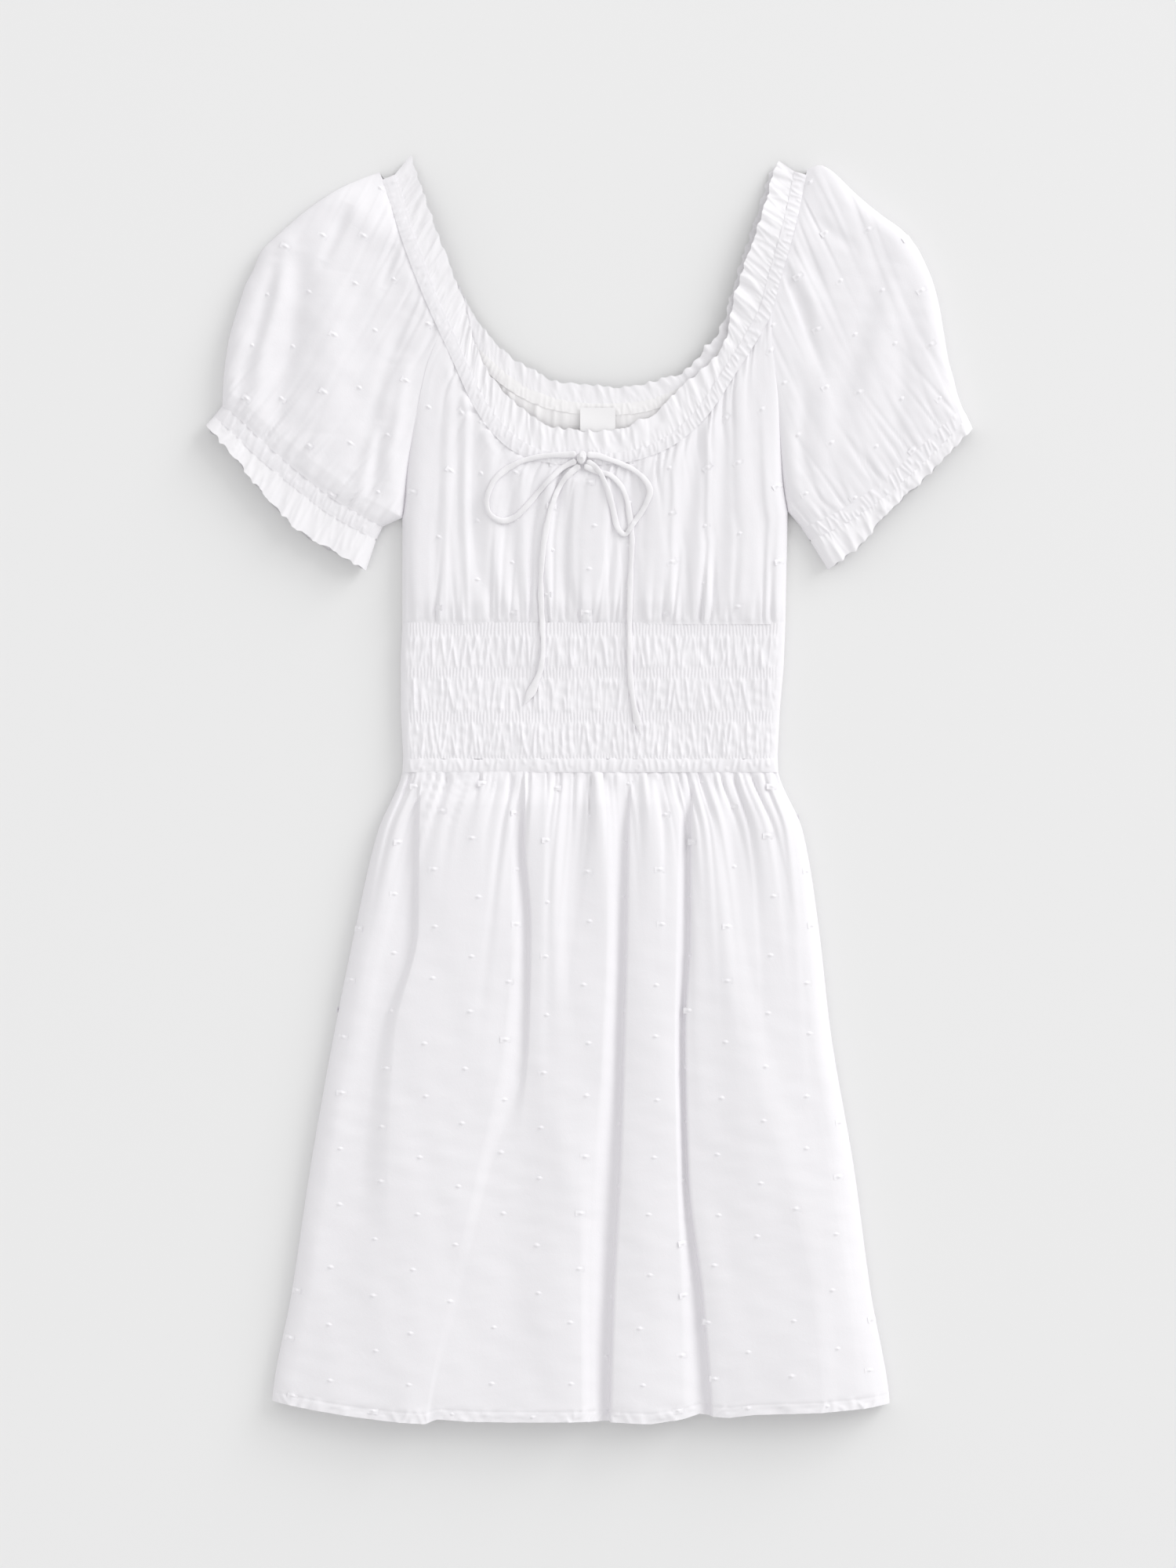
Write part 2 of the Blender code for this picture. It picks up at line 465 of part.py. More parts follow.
def add_mesh(name, points, faces, look):
    """One closed solid from points in mm."""
    mesh = bpy.data.meshes.new(name)
    mesh.from_pydata((np.asarray(points) * MM).tolist(), [], faces)
    mesh.update()
    solid = bpy.data.objects.new(name, mesh)
    solid.data.materials.append(look)
    dress.objects.link(solid)
    return solid


def wall(name, outer, inner, look):
    """Cloth wall between an outer and an inner grid of points, closed all round its border."""
    rows, columns = outer.shape[:2]
    index = np.arange(rows * columns).reshape(rows, columns)
    low = index + rows * columns
    faces = []
    for r in range(rows - 1):
        for c in range(columns - 1):
            a, b, d, e = index[r, c], index[r, c + 1], index[r + 1, c + 1], index[r + 1, c]
            faces.append((a, b, d, e))
            a, b, d, e = low[r, c], low[r, c + 1], low[r + 1, c + 1], low[r + 1, c]
            faces.append((e, d, b, a))
    rim = list(index[0, :]) + list(index[1:, -1]) + list(index[-1, -2::-1]) + list(index[-2:0:-1, 0])
    under = list(low[0, :]) + list(low[1:, -1]) + list(low[-1, -2::-1]) + list(low[-2:0:-1, 0])
    count = len(rim)
    for i in range(count):
        j = (i + 1) % count
        faces.append((rim[j], rim[i], under[i], under[j]))
    points = np.vstack([outer.reshape(-1, 3), inner.reshape(-1, 3)])
    volume = 0.0
    for face in faces:
        a, b, c, d = points[list(face)]
        volume += np.dot(a, np.cross(b, c)) + np.dot(a, np.cross(c, d))
    if volume < 0.0:
        faces = [tuple(reversed(face)) for face in faces]
    faces = [tuple(int(i) for i in face) for face in faces]
    return add_mesh(name, points, faces, look)


def inside(outer, across, thick, up, near_edge, first_turn, last_turn):
    """Inner grid of a wall.

    across: one level direction per row; up: +1 where the outside looks up, -1 where it looks down.
    near_edge: 1 where the wall is measured square to the cloth, 0 where straight down.
    first_turn and last_turn: per row, 0 where the border wall lies level, 1 where it stands.
    """
    step = np.gradient(outer, axis=1)
    run = step[..., 0] * across[:, None, 0] + step[..., 1] * across[:, None, 1]
    rise = step[..., 2]
    size = np.hypot(run, rise) + 1e-9
    square = np.stack([-rise * across[:, None, 0], -rise * across[:, None, 1], run], axis=-1)
    square = square / size[..., None] * up
    lean = np.minimum(size / np.maximum(np.abs(run), 1e-6), PLUMB_LIMIT)
    plumb = np.zeros_like(outer)
    plumb[..., 2] = np.sign(square[..., 2]) * lean
    way = near_edge[..., None] * square + (1.0 - near_edge[..., None]) * plumb
    for column, turn, side in ((0, first_turn, 1.0), (-1, last_turn, -1.0)):
        if turn is None:
            continue
        angle = np.asarray(turn) * np.pi / 2.0
        sign = np.sign(way[:, column, 2])
        sign[sign == 0] = up
        level = np.cos(angle)[:, None] * across * -side
        way[:, column, :2] = level
        way[:, column, 2] = np.sin(angle) * sign
    return outer - thick * way


def fold_columns(table, levels, per_fold, side_steps):
    """Functions x(y) and z(y) of every column of points between the fold lines of a table."""
    levels = np.array(levels)
    lines_x = np.array([row[1] for row in table], float)
    lines_z = np.array([row[2] for row in table], float)
    order = np.argsort(levels)
    weights = []
    for i in range(len(table) - 1):
        steps = np.arange(per_fold) / per_fold
        if i == 0:
            steps = np.array(side_steps)
        if i == len(table) - 2:
            steps = 1.0 - np.array(side_steps)[::-1][:-1]
            steps = np.concatenate([[0.0], steps])
        weights += [(i, f) for f in steps]
    weights.append((len(table) - 2, 1.0))

    def at(y_per_column):
        xs, zs = [], []
        for (i, f), y in zip(weights, y_per_column):
            x = [np.interp(y, levels[order], lines_x[k][order]) for k in (i, i + 1)]
            z = [np.interp(y, levels[order], lines_z[k][order]) for k in (i, i + 1)]
            xs.append(x[0] + (x[1] - x[0]) * f)
            zs.append(z[0] + (z[1] - z[0]) * ease(f))
        return np.array(xs), np.array(zs)

    return weights, at


def roll_up(from_edge, height, base, width):
    """Height of the front near a side fold: an ellipse from the fold up to the panel."""
    near = np.clip(1.0 - from_edge / width, 0.0, 1.0)
    return base + (height - base) * np.sqrt(np.clip(1.0 - near ** 2, 0.0, 1.0))


def roll_under(from_edge, top):
    """Height of the back near a side fold: flat on the surface, then up to the fold."""
    near = np.clip(1.0 - from_edge / BACK_ROLL, 0.0, 1.0)
    return top * (1.0 - np.sqrt(np.clip(1.0 - near ** 2, 0.0, 1.0)))


def hem_at(x):
    """Level of the skirt's lower edge."""
    spots = np.array(HEM)
    return np.interp(x, spots[:, 0], spots[:, 1])


def gathers(distance, count, period):
    """Gathers at a seam: one wave to a number of columns, fading away from the seam."""
    wave = np.cos(np.arange(count) * 2.0 * np.pi / period)
    return GATHER * np.exp(-distance / GATHER_REACH) * wave


cloth = material("cloth_white", CLOTH_WHITE, 0.85)
band = material("casing_white", CLOTH_WHITE, 0.85)
frill = material("frill_white", CLOTH_WHITE, 0.85)
inner_cloth = material("back_white", CLOTH_WHITE, 0.85)
cord = material("tie_white", CLOTH_WHITE, 0.8)
tag = material("label_white", LABEL_WHITE, 0.5)
X_ROW = np.array([[1.0, 0.0]])


# Skirt, front: fold lines run from the waist to the hem.
columns, skirt_at = fold_columns(SKIRT_FOLDS, SKIRT_FOLDS_Y, 3, [0.0, 0.05, 0.18, 0.45])
width = len(columns)
top = CASING_LOW - HALF_GAP
outer = []
for fall in SKIRT_ROWS:
    level = np.full(width, top - fall)
    for again in range(3):
        x, z = skirt_at(level)
        share = fall / SKIRT_ROWS[-1]
        bent = top + (hem_at(x) - top) * share
        level = bent if fall > SKIRT_FALL else np.full(width, top - fall)
    x, z = skirt_at(level)
    z = MID + (z - MID) * ease(fall / SEAM_EASE)
    z = z + gathers(fall, width, 3) * (1.0 - ease(fall / (5.0 * GATHER_REACH)))
    edge = np.minimum(x - x[0], x[-1] - x)
    z = roll_up(edge, z, SIDE + HALF_GAP, FRONT_ROLL)
    outer.append(np.stack([x, level, z], axis=-1))
outer = np.array(outer)
edge = np.minimum(outer[..., 0] - outer[:, :1, 0], outer[:, -1:, 0] - outer[..., 0])
near = 1.0 - ease(edge / FRONT_ROLL)
level_walls = np.zeros(len(SKIRT_ROWS))
across = np.repeat(X_ROW, len(SKIRT_ROWS), axis=0)
inner = inside(outer, across, CLOTH, 1.0, near, level_walls, level_walls)
wall("skirt_front", outer, inner, cloth)


def back_panel(name, levels, left, right, count, low_gather, high_gather, to_hem=False):
    """Back panel between two side folds: flat below, with low gathers at its seams."""
    rows = []
    first = BACK_STEPS[-1]
    for i, y in enumerate(levels):
        span = right[i] - left[i]
        middle = first + (span - 2.0 * first) * np.linspace(0.0, 1.0, count)
        offset = np.concatenate([BACK_STEPS[:-1], middle, span - np.array(BACK_STEPS[-2::-1])])
        x = left[i] + offset
        edge = np.minimum(offset, span - offset)
        z = roll_under(edge, SIDE - HALF_GAP)
        wave = 0.5 + 0.5 * np.cos(np.arange(len(offset)) * np.pi)
        lift = low_gather * np.exp(-abs(y - levels[0]) / GATHER_REACH)
        lift += high_gather * np.exp(-abs(y - levels[-1]) / GATHER_REACH)
        z = z + lift * wave * ease((edge - BACK_ROLL) / FADE)
        ys = np.full(len(offset), y)
        if to_hem and i > 1:
            share = (levels[0] - y) / (levels[0] - levels[-1])
            ys = levels[0] + (hem_at(x) - levels[0]) * share
        rows.append(np.stack([x, ys, z], axis=-1))
    rows = np.array(rows)
    flat = np.zeros(len(levels))
    near = np.ones(rows.shape[:2])
    way = np.repeat(X_ROW, len(levels), axis=0)
    solid_inner = inside(rows, way, CLOTH, -1.0, near, flat, flat)
    return wall(name, rows, solid_inner, inner_cloth)


# Skirt, back: follows the same side folds.
falls = [0.0, 14.0, 40.0, 110.0, 220.0, 340.0, 449.0]
levels = [top - fall for fall in falls]
side_x = [skirt_at(np.full(width, y))[0] for y in levels]
left = [x[0] for x in side_x]
right = [x[-1] for x in side_x]
back_panel("skirt_back", levels, left, right, 32, 0.9, 0.0, to_hem=True)


def side_x_at(y):
    """Side folds of the torso at a level."""
    left_side = np.interp(y, *np.array(TORSO_LEFT).T[::-1])
    right_side = np.interp(y, *np.array(TORSO_RIGHT).T[::-1])
    return left_side, right_side


def smocked(name, rows, count, top_height, thick):
    """Elastic front panel: puckers raised in the outer points over a plain inside."""
    grid = []
    for y, puff, pucker in rows:
        lo, hi = side_x_at(y)
        span = hi - lo
        middle = np.linspace(FRONT_ROLL, span - FRONT_ROLL, count)
        offset = np.concatenate([FRONT_STEPS, middle, span - np.array(FRONT_STEPS[::-1])])
        edge = np.minimum(offset, span - offset)
        z = roll_up(edge, np.full(len(offset), top_height), SIDE + HALF_GAP, FRONT_ROLL)
        zigzag = np.where(np.arange(len(offset)) % 2 == 0, 1.0, 0.0)
        raised = (puff + PUFF_BASE + pucker * zigzag) * ease((edge - FRONT_STEPS[2]) / FADE)
        grid.append((np.stack([lo + offset, np.full(len(offset), y), z], axis=-1), raised, edge))
    plain, raised, edge = (np.array(part) for part in zip(*grid))
    flat = np.zeros(len(rows))
    way = np.repeat(X_ROW, len(rows), axis=0)
    near = 1.0 - ease(edge / FRONT_ROLL)
    solid_inner = inside(plain, way, thick, 1.0, near, flat, flat)
    solid_outer = plain.copy()
    solid_outer[..., 2] += raised
    return wall(name, solid_outer, solid_inner, cloth)


# Waist casing and smocked midriff.
smocked("waist_casing_front", CASING_ROWS, CASING_COLUMNS, MID - 0.5, ELASTIC_CLOTH)
smock_rows = list(SMOCK_ROWS)
smock_rows[0] = (CASING_HIGH + HALF_GAP, *SMOCK_ROWS[0][1:])
smock_rows[-1] = (SMOCK_HIGH - HALF_GAP, *SMOCK_ROWS[-1][1:])
smocked("waist_front", smock_rows, SMOCK_COLUMNS, MID - 0.6, CLOTH)

levels = [CASING_LOW + HALF_GAP, CASING_HIGH - HALF_GAP]
sides = [side_x_at(y) for y in levels]
back_panel("waist_casing_back", levels, [s[0] for s in sides], [s[1] for s in sides], 18, 0.5, 0.5)
levels = [CASING_HIGH + HALF_GAP, 49.0, 80.0, SMOCK_HIGH - HALF_GAP]
sides = [side_x_at(y) for y in levels]
back_panel("waist_back", levels, [s[0] for s in sides], [s[1] for s in sides], 26, 0.6, 0.6)


# Points that pieces share: along the raglan seams and under the neck casing.
raglan_steps = np.linspace(0.0, 1.0, RAGLAN_POINTS)
raglan = {
    "left": along(RAGLAN_LEFT, raglan_steps),
    "right": along(RAGLAN_RIGHT, raglan_steps),
    "left_back": along(RAGLAN_LEFT_BACK, raglan_steps),
    "right_back": along(RAGLAN_RIGHT_BACK, raglan_steps),
}


def seam_height(fraction):
    """Height of the front raglan seam: at the side fold under the arm, up to the neck casing."""
    return SIDE + HALF_GAP + (NECK - SIDE - HALF_GAP) * ease(np.asarray(fraction) * 1.3)


def back_height(fraction):
    """Height of the back raglan seam: from the side fold down to the surface."""
    return (SIDE - HALF_GAP) * (1.0 - ease(np.asarray(fraction) * 3.0))


# Bodice, front: fold lines run from the smocking to the neck casing.
columns, bodice_at = fold_columns(BODICE_FOLDS, BODICE_FOLDS_Y, 2, [0.0, 0.06, 0.3])
width = len(columns)
neck_seam = curve(NECK_SEAM)
first = np.argmin(np.linalg.norm(neck_seam - raglan["left"][-1], axis=1))
last = np.argmin(np.linalg.norm(neck_seam - raglan["right"][-1], axis=1))
front_u = neck_seam[first:last + 1]
crown = np.zeros((width, 2))
for c in range(width):
    guess = np.full(width, 220.0)
    for again in range(40):
        x = bodice_at(guess)[0][c]
        guess = guess * 0.4 + 0.6 * np.interp(x, front_u[:, 0], front_u[:, 1])
    crown[c] = (bodice_at(guess)[0][c], guess[0])
for end, key in ((0, "left"), (-1, "right")):
    corner = raglan[key][-1]
    from_end = np.abs(crown[:, 0] - crown[end, 0])
    crown[:, 0] += (corner[0] - crown[end, 0]) * (1.0 - ease(from_end / TORSO_REACH))
crown[:, 1] = np.interp(crown[:, 0], front_u[:, 0], front_u[:, 1])
crown[0] = raglan["left"][-1]
crown[-1] = raglan["right"][-1]
front_crown = crown.copy()
bottom = SMOCK_HIGH + HALF_GAP


def border_path(side_key, x_low):
    """Side of the bodice: up the side fold, then up the raglan seam."""
    seam = raglan[side_key]
    low = []
    for share in BODICE_LOW_ROWS:
        y = bottom + (seam[0][1] - bottom) * share
        low.append((x_low + (seam[0][0] - x_low) * share, y))
    return np.vstack([low, seam])


def mitre(seam, crown_seam, end, inset):
    """Corner of the bodice at a raglan seam's top, kept clear of both seams."""
    up_seam = seam[-1] - seam[-2]
    down_crown = (crown_seam[1] - crown_seam[0]) if end == 0 else (crown_seam[-2] - crown_seam[-1])
    up_seam = up_seam / np.linalg.norm(up_seam)
    down_crown = down_crown / np.linalg.norm(down_crown)
    inward = down_crown - up_seam
    inward /= np.linalg.norm(inward)
    half = np.sqrt(max(0.0, 0.5 * (1.0 + np.dot(up_seam, down_crown))))
    return seam[-1] + inward * inset / max(half, 0.2)


def bodice_grid(left_key, right_key, tops, inset):
    """Plan of the bodice: rows from the smocking to the neck casing, between its two sides."""
    lo, hi = side_x_at(bottom)
    left_path = border_path(left_key, lo)
    right_path = border_path(right_key, hi)
    seam_start = len(BODICE_LOW_ROWS)
    left_path[seam_start:] = shifted(left_path[seam_start:], -inset)
    right_path[seam_start:] = shifted(right_path[seam_start:], inset)
    tops_seam = tops
    tops = shifted(tops, -inset)
    left_path[-1] = tops[0] = mitre(raglan[left_key], tops_seam, 0, inset)
    right_path[-1] = tops[-1] = mitre(raglan[right_key], tops_seam, -1, inset)
    return left_path, right_path, tops


def stretch_to(grid, left_path, right_path, reach):
    """Move a plan grid so that its two sides lie on their paths, fading inward."""
    grid = grid.copy()
    from_left = np.abs(grid[..., 0] - grid[:, :1, 0])
    from_right = np.abs(grid[..., 0] - grid[:, -1:, 0])
    to_left = left_path - grid[:, 0]
    to_right = right_path - grid[:, -1]
    grid += to_left[:, None, :] * (1.0 - ease(from_left / reach))[..., None]
    grid += to_right[:, None, :] * (1.0 - ease(from_right / reach))[..., None]
    return grid


def row_shares(path):
    """How far up a side each of its rows is."""
    return (path[:, 1] - path[0, 1]) / (path[-1, 1] - path[0, 1])


low_rows = len(BODICE_LOW_ROWS)
left_path, right_path, tops = bodice_grid("left", "right", crown, HALF_GAP)
left_share = row_shares(left_path)
right_share = row_shares(right_path)
rows = len(left_path)
seam_share = np.concatenate([np.full(low_rows, -1.0), raglan_steps])
plan = np.zeros((rows, width, 2))
height = np.zeros((rows, width))
across_share = np.linspace(0.0, 1.0, width)
for r in range(rows):
    share = left_share[r] + (right_share[r] - left_share[r]) * across_share
    y = bottom + share * (tops[:, 1] - bottom)
    x, z = bodice_at(y)
    if r == rows - 1:
        x = tops[:, 0]
    plan[r, :, 0] = x
    plan[r, :, 1] = y
    climb = y - bottom
    z = (MID - 0.6) + (z - MID + 0.6) * ease(climb / 18.0)
    fade = ease((tops[:, 1] - y) / 16.0)
    z = NECK + (z - NECK) * fade
    z = z + gathers(climb, width, 4) + 0.6 * gathers(tops[:, 1] - y, width, 4)
    height[r] = z
plan = stretch_to(plan, left_path, right_path, TORSO_REACH)
from_left = np.linalg.norm(plan - plan[:, :1], axis=-1)
from_right = np.linalg.norm(plan - plan[:, -1:], axis=-1)
side_base = np.where(seam_share < 0.0, SIDE + HALF_GAP, seam_height(np.maximum(seam_share, 0.0)))
edge = np.minimum(from_left, from_right)
height = roll_up(edge, height, side_base[:, None], FRONT_ROLL)
height[-1, 0] = NECK
height[-1, -1] = NECK
turn = np.where(seam_share < 0.0, 0.0, ease(seam_share * 2.2))
near = (1.0 - ease(edge / FRONT_ROLL)) * (1.0 - turn)[:, None]
outer = np.concatenate([plan, height[..., None]], axis=-1)
across = np.repeat(X_ROW, rows, axis=0)
inner = inside(outer, across, CLOTH, 1.0, near, turn, turn)
wall("bodice_front", outer, inner, cloth)


# Bodice, back: a plain patch between the same sides and the back neck casing.
back_seam = curve(BACK_SEAM)
first = np.argmin(np.linalg.norm(back_seam - raglan["left_back"][-1], axis=1))
last = np.argmin(np.linalg.norm(back_seam - raglan["right_back"][-1], axis=1))
steps = np.linspace(0.0, 1.0, BACK_COLUMNS)
steps = np.concatenate([[0.0, 0.003, 0.012, 0.03], steps[2:-2], [0.97, 0.988, 0.997, 1.0]])
back_crown = along(back_seam[first:last + 1:4], steps)
back_crown[0] = raglan["left_back"][-1]
back_crown[-1] = raglan["right_back"][-1]
left_path, right_path, tops = bodice_grid("left_back", "right_back", back_crown, HALF_GAP)
lo, hi = side_x_at(bottom)
side_room = hi - lo
offset = steps * side_room
offset[:4] = BACK_STEPS
offset[-4:] = side_room - np.array(BACK_STEPS[::-1])
plan = np.zeros((rows, len(steps), 2))
height = np.zeros((rows, len(steps)))
left_share = row_shares(left_path)
right_share = row_shares(right_path)
for r in range(rows):
    share = left_share[r] + (right_share[r] - left_share[r]) * steps
    plan[r, :, 0] = (lo + offset) + share * (tops[:, 0] - lo - offset)
    plan[r, :, 1] = bottom + share * (tops[:, 1] - bottom)
plan = stretch_to(plan, left_path, right_path, BACK_REACH)
from_left = np.linalg.norm(plan - plan[:, :1], axis=-1)
from_right = np.linalg.norm(plan - plan[:, -1:], axis=-1)
edge = np.minimum(from_left, from_right)
top_level = np.where(seam_share < 0.0, SIDE - HALF_GAP, back_height(np.maximum(seam_share, 0.0)))
height = roll_under(edge, top_level[:, None])
wave = 0.5 + 0.5 * np.cos(np.arange(len(steps)) * np.pi)
lift = np.exp(-(plan[..., 1] - bottom) / GATHER_REACH) * 0.9
lift += np.exp(-(tops[None, :, 1] - plan[..., 1]) / GATHER_REACH) * 0.5
height += lift * wave * ease((edge - BACK_ROLL) / FADE)
outer = np.concatenate([plan, height[..., None]], axis=-1)
turn_back = np.where(seam_share < 0.0, 0.0, ease(seam_share * 3.0))
near = (1.0 - ease(edge / 10.0)) * (1.0 - turn_back)[:, None]
inner = inside(outer, across, CLOTH, -1.0, near, turn_back, turn_back)
wall("bodice_back", outer, inner, inner_cloth)


def neck_height(fraction):
    """Height of the front neck casing: low where it turns over at the shoulders."""
    near_end = np.minimum(fraction, 1.0 - np.asarray(fraction))
    return SHOULDER + (NECK - SHOULDER) * ease(near_end / 0.10)


def fold_heights(spots, table):
    """Sum of the ridges and valleys at plan points."""
    total = np.zeros(spots.shape[:-1])
    for name, change, reach, route in table:
        path = curve(route)
        gap = np.linalg.norm(spots[..., None, :] - path, axis=-1)
        nearest = gap.argmin(axis=-1)
        distance = gap.min(axis=-1)
        part = nearest / (len(path) - 1.0)
        taper = np.sin(np.clip(part, 0.03, 0.97) * np.pi) ** 0.5
        total += change * taper * np.exp(-(distance / reach) ** 2)
    return total


def neck_part(path, spot, from_end):
    """The stretch of a neck seam between a shoulder and the top of a raglan seam."""
    dense = curve(path)
    near = np.argmin(np.linalg.norm(dense - spot, axis=1))
    if from_end:
        return dense[near:][::-1]
    return dense[:near + 1]


def section(span, roll_front, span_back, roll_back):
    """Distances round a flattened tube: from the front seam to the fold, then on to the back seam."""
    front = np.concatenate([
        roll_front * np.array(FAN),
        np.linspace(roll_front, span - roll_front, SLEEVE_COLUMNS),
        span - roll_front * np.array(FAN[::-1]),
    ])
    back = np.concatenate([
        roll_back * np.array(BACK_FAN[1:]),
        np.linspace(roll_back, span_back - roll_back, UNDER_COLUMNS),
        span_back - roll_back * np.array(BACK_FAN[::-1]),
    ])
    return front, back


def tube_rows(fronts, folds, backs, bases_front, tops_back, high, folds_table, curve_rows):
    """Outer points of a flattened tube, one row per section, from the front seam round the fold."""
    grid = []
    for r in range(len(fronts)):
        start, fold, end = fronts[r], folds[r], backs[r]
        span = np.linalg.norm(fold - start)
        span_back = np.linalg.norm(fold - end)
        roll_front = min(SLEEVE_ROLL, span / 3.0)
        roll_back = min(BACK_ROLL, span_back / 4.0)
        front, back = section(span, roll_front, span_back, roll_back)
        share = (front / span)[:, None]
        spots = start + (fold - start) * share
        if curve_rows[r] is not None:
            spots = along(curve_rows[r], front / span)
            spots[0], spots[-1] = start, fold
        top = high[r] + fold_heights(spots, folds_table)
        top = SHOULDER + (top - SHOULDER) * ease(span / SLEEVE_SPAN)
        z = roll_up(front, top, bases_front[r], roll_front)
        near = np.clip(1.0 - (span - front) / roll_front, 0.0, 1.0)
        z = SIDE + (z - SIDE) * np.sqrt(np.clip(1.0 - near ** 2, 0.0, 1.0))
        grid_front = np.concatenate([spots, z[:, None]], axis=1)
        share = (back / span_back)[:, None]
        spots = fold + (end - fold) * share
        if curve_rows[r] is not None:
            spots = along(curve_rows[r][::-1], back / span_back)
            spots[-1] = end
        z = roll_under(back, SIDE)
        near = np.clip(1.0 - (span_back - back) / roll_back, 0.0, 1.0)
        z = z + tops_back[r] * (1.0 - np.sqrt(np.clip(1.0 - near ** 2, 0.0, 1.0)))
        grid_back = np.concatenate([spots, z[:, None]], axis=1)
        grid.append(np.vstack([grid_front, grid_back]))
    return np.array(grid)


def tube_inside(grid, thick, turn_front, turn_back):
    """Inner grid of a flattened tube."""
    row_count, column_count = grid.shape[:2]
    fold = FRONT_POINTS - 1
    outward = grid[:, fold, :2] - 0.5 * (grid[:, 0, :2] + grid[:, -1, :2])
    outward /= np.linalg.norm(outward, axis=1)[:, None]
    to_fold = np.linalg.norm(grid[..., :2] - grid[:, fold:fold + 1, :2], axis=-1)
    to_front = np.linalg.norm(grid[..., :2] - grid[:, :1, :2], axis=-1)
    to_back = np.linalg.norm(grid[..., :2] - grid[:, -1:, :2], axis=-1)
    near = 1.0 - ease(to_fold / SLEEVE_ROLL)
    front_part = np.arange(column_count)[None, :] <= fold
    near_front = (1.0 - ease(to_front / SLEEVE_ROLL)) * (1.0 - turn_front)[:, None]
    near_back = (1.0 - ease(to_back / 8.0)) * (1.0 - turn_back)[:, None]
    near = np.maximum(near, np.where(front_part, near_front, near_back))
    near[:, fold - 3:fold + 3] = 1.0
    inner_grid = inside(grid, outward, thick, 1.0, near, None, None)
    for column, turn, up, side in ((0, turn_front, 1.0, 1.0), (-1, turn_back, -1.0, 1.0)):
        angle = turn * np.pi / 2.0
        move = np.zeros((row_count, 3))
        move[:, :2] = outward * (np.cos(angle) * side)[:, None]
        move[:, 2] = -np.sin(angle) * up
        inner_grid[:, column] = grid[:, column] + thick * move
    return inner_grid


def sleeve(side, fold_path, cuff_seam, folds_table, mirror):
    """One raglan sleeve: a flattened tube, open along the raglan seam and at the cuff."""
    neck_front = neck_part(NECK_SEAM, raglan[side][-1], mirror)
    neck_back = neck_part(BACK_SEAM, raglan[side + "_back"][-1], mirror)
    shares = NECK_EDGE_ROWS
    fronts = np.vstack([along(neck_front[::3], shares), raglan[side][::-1]])
    backs = np.vstack([along(neck_back[::3], shares), raglan[side + "_back"][::-1]])
    shared_front, shared_back = fronts.copy(), backs.copy()
    way = 1.0 if mirror else -1.0
    fronts = shifted(fronts, way * HALF_GAP)
    backs = shifted(backs, way * HALF_GAP)
    cuff = np.array(cuff_seam, float)
    fronts = np.vstack([fronts, cuff[0]])
    backs = np.vstack([backs, cuff[0]])
    lengths = np.concatenate([[0.0], np.cumsum(np.linalg.norm(np.diff(fronts, axis=0), axis=1))])
    folds = along(fold_path, lengths / lengths[-1])
    folds[-1] = cuff[-1]
    count = len(fronts)
    whole = np.linalg.norm(np.diff(curve(NECK_SEAM), axis=0), axis=1).sum()
    part = np.linalg.norm(np.diff(neck_front, axis=0), axis=1).sum() / whole
    neck_z = neck_height(np.array(shares) * part)
    bases = np.concatenate([neck_z, seam_height(raglan_steps[::-1]), [SIDE + HALF_GAP]])
    back_tops = np.concatenate([np.zeros(len(shares)), back_height(raglan_steps[::-1]), [SIDE - HALF_GAP]])
    high = np.concatenate([np.linspace(SLEEVE_TOP, SLEEVE_PUFF, count - 1), [CUFF]])
    curved = [None] * (count - 1) + [cuff]
    grid = tube_rows(fronts, folds, backs, bases, back_tops, high, folds_table, curved)
    turns = np.concatenate([np.full(len(shares), 1.0), ease(raglan_steps[::-1] * 2.2), [0.0]])
    turns_back = np.concatenate([np.full(len(shares), 1.0), ease(raglan_steps[::-1] * 3.0), [0.0]])
    wall("sleeve_" + side, grid, tube_inside(grid, CLOTH, turns, turns_back), cloth)
    return shared_front[:len(shares)], shared_back[:len(shares)]


def cuff(side, seam, line, edge, way):
    """Elastic casing of a cuff and the frill beyond it, each a flattened ring."""
    rings = [
        ("cuff_casing_", [(seam, way * GAP, CUFF, 0.0),
                          (line, -way * HALF_GAP, CUFF - 0.5, 0.0)], ELASTIC_CLOTH),
        ("cuff_frill_", [(line, way * HALF_GAP, CUFF - 0.5, 0.0), (line, None, CUFF, 0.5),
                         (edge, 0.0, CUFF + 1.0, 1.0)], FRILL_CLOTH),
    ]
    for name, parts, thick in rings:
        fronts, folds, plans, high, waves = [], [], [], [], []
        for path, move, z, wave in parts:
            spots = along(path, np.linspace(0.0, 1.0, CUFF_POINTS))
            if move is None:
                spots = 0.5 * (spots + along(edge, np.linspace(0.0, 1.0, CUFF_POINTS)))
            else:
                spots = shifted(spots, move)
            fronts.append(spots[0])
            folds.append(spots[-1])
            plans.append(spots)
            high.append(z)
            waves.append(wave)
        count = len(parts)
        grid = tube_rows(fronts, folds, fronts, [SIDE + HALF_GAP] * count, [SIDE - HALF_GAP] * count,
                         high, [], plans)
        front = grid[:, :FRONT_POINTS]
        wave = np.cos(np.arange(FRONT_POINTS) * np.pi / 1.5)
        room = ease((np.linalg.norm(front[..., :2] - front[:, :1, :2], axis=-1) - 6.0) / 10.0)
        room *= ease((np.linalg.norm(front[..., :2] - front[:, -1:, :2], axis=-1) - 6.0) / 10.0)
        front[..., 2] += np.array(waves)[:, None] * room * FRILL_WAVE * wave
        flat = np.zeros(count)
        wall(name + side, grid, tube_inside(grid, thick, flat, flat), band if thick > FRILL_CLOTH else frill)


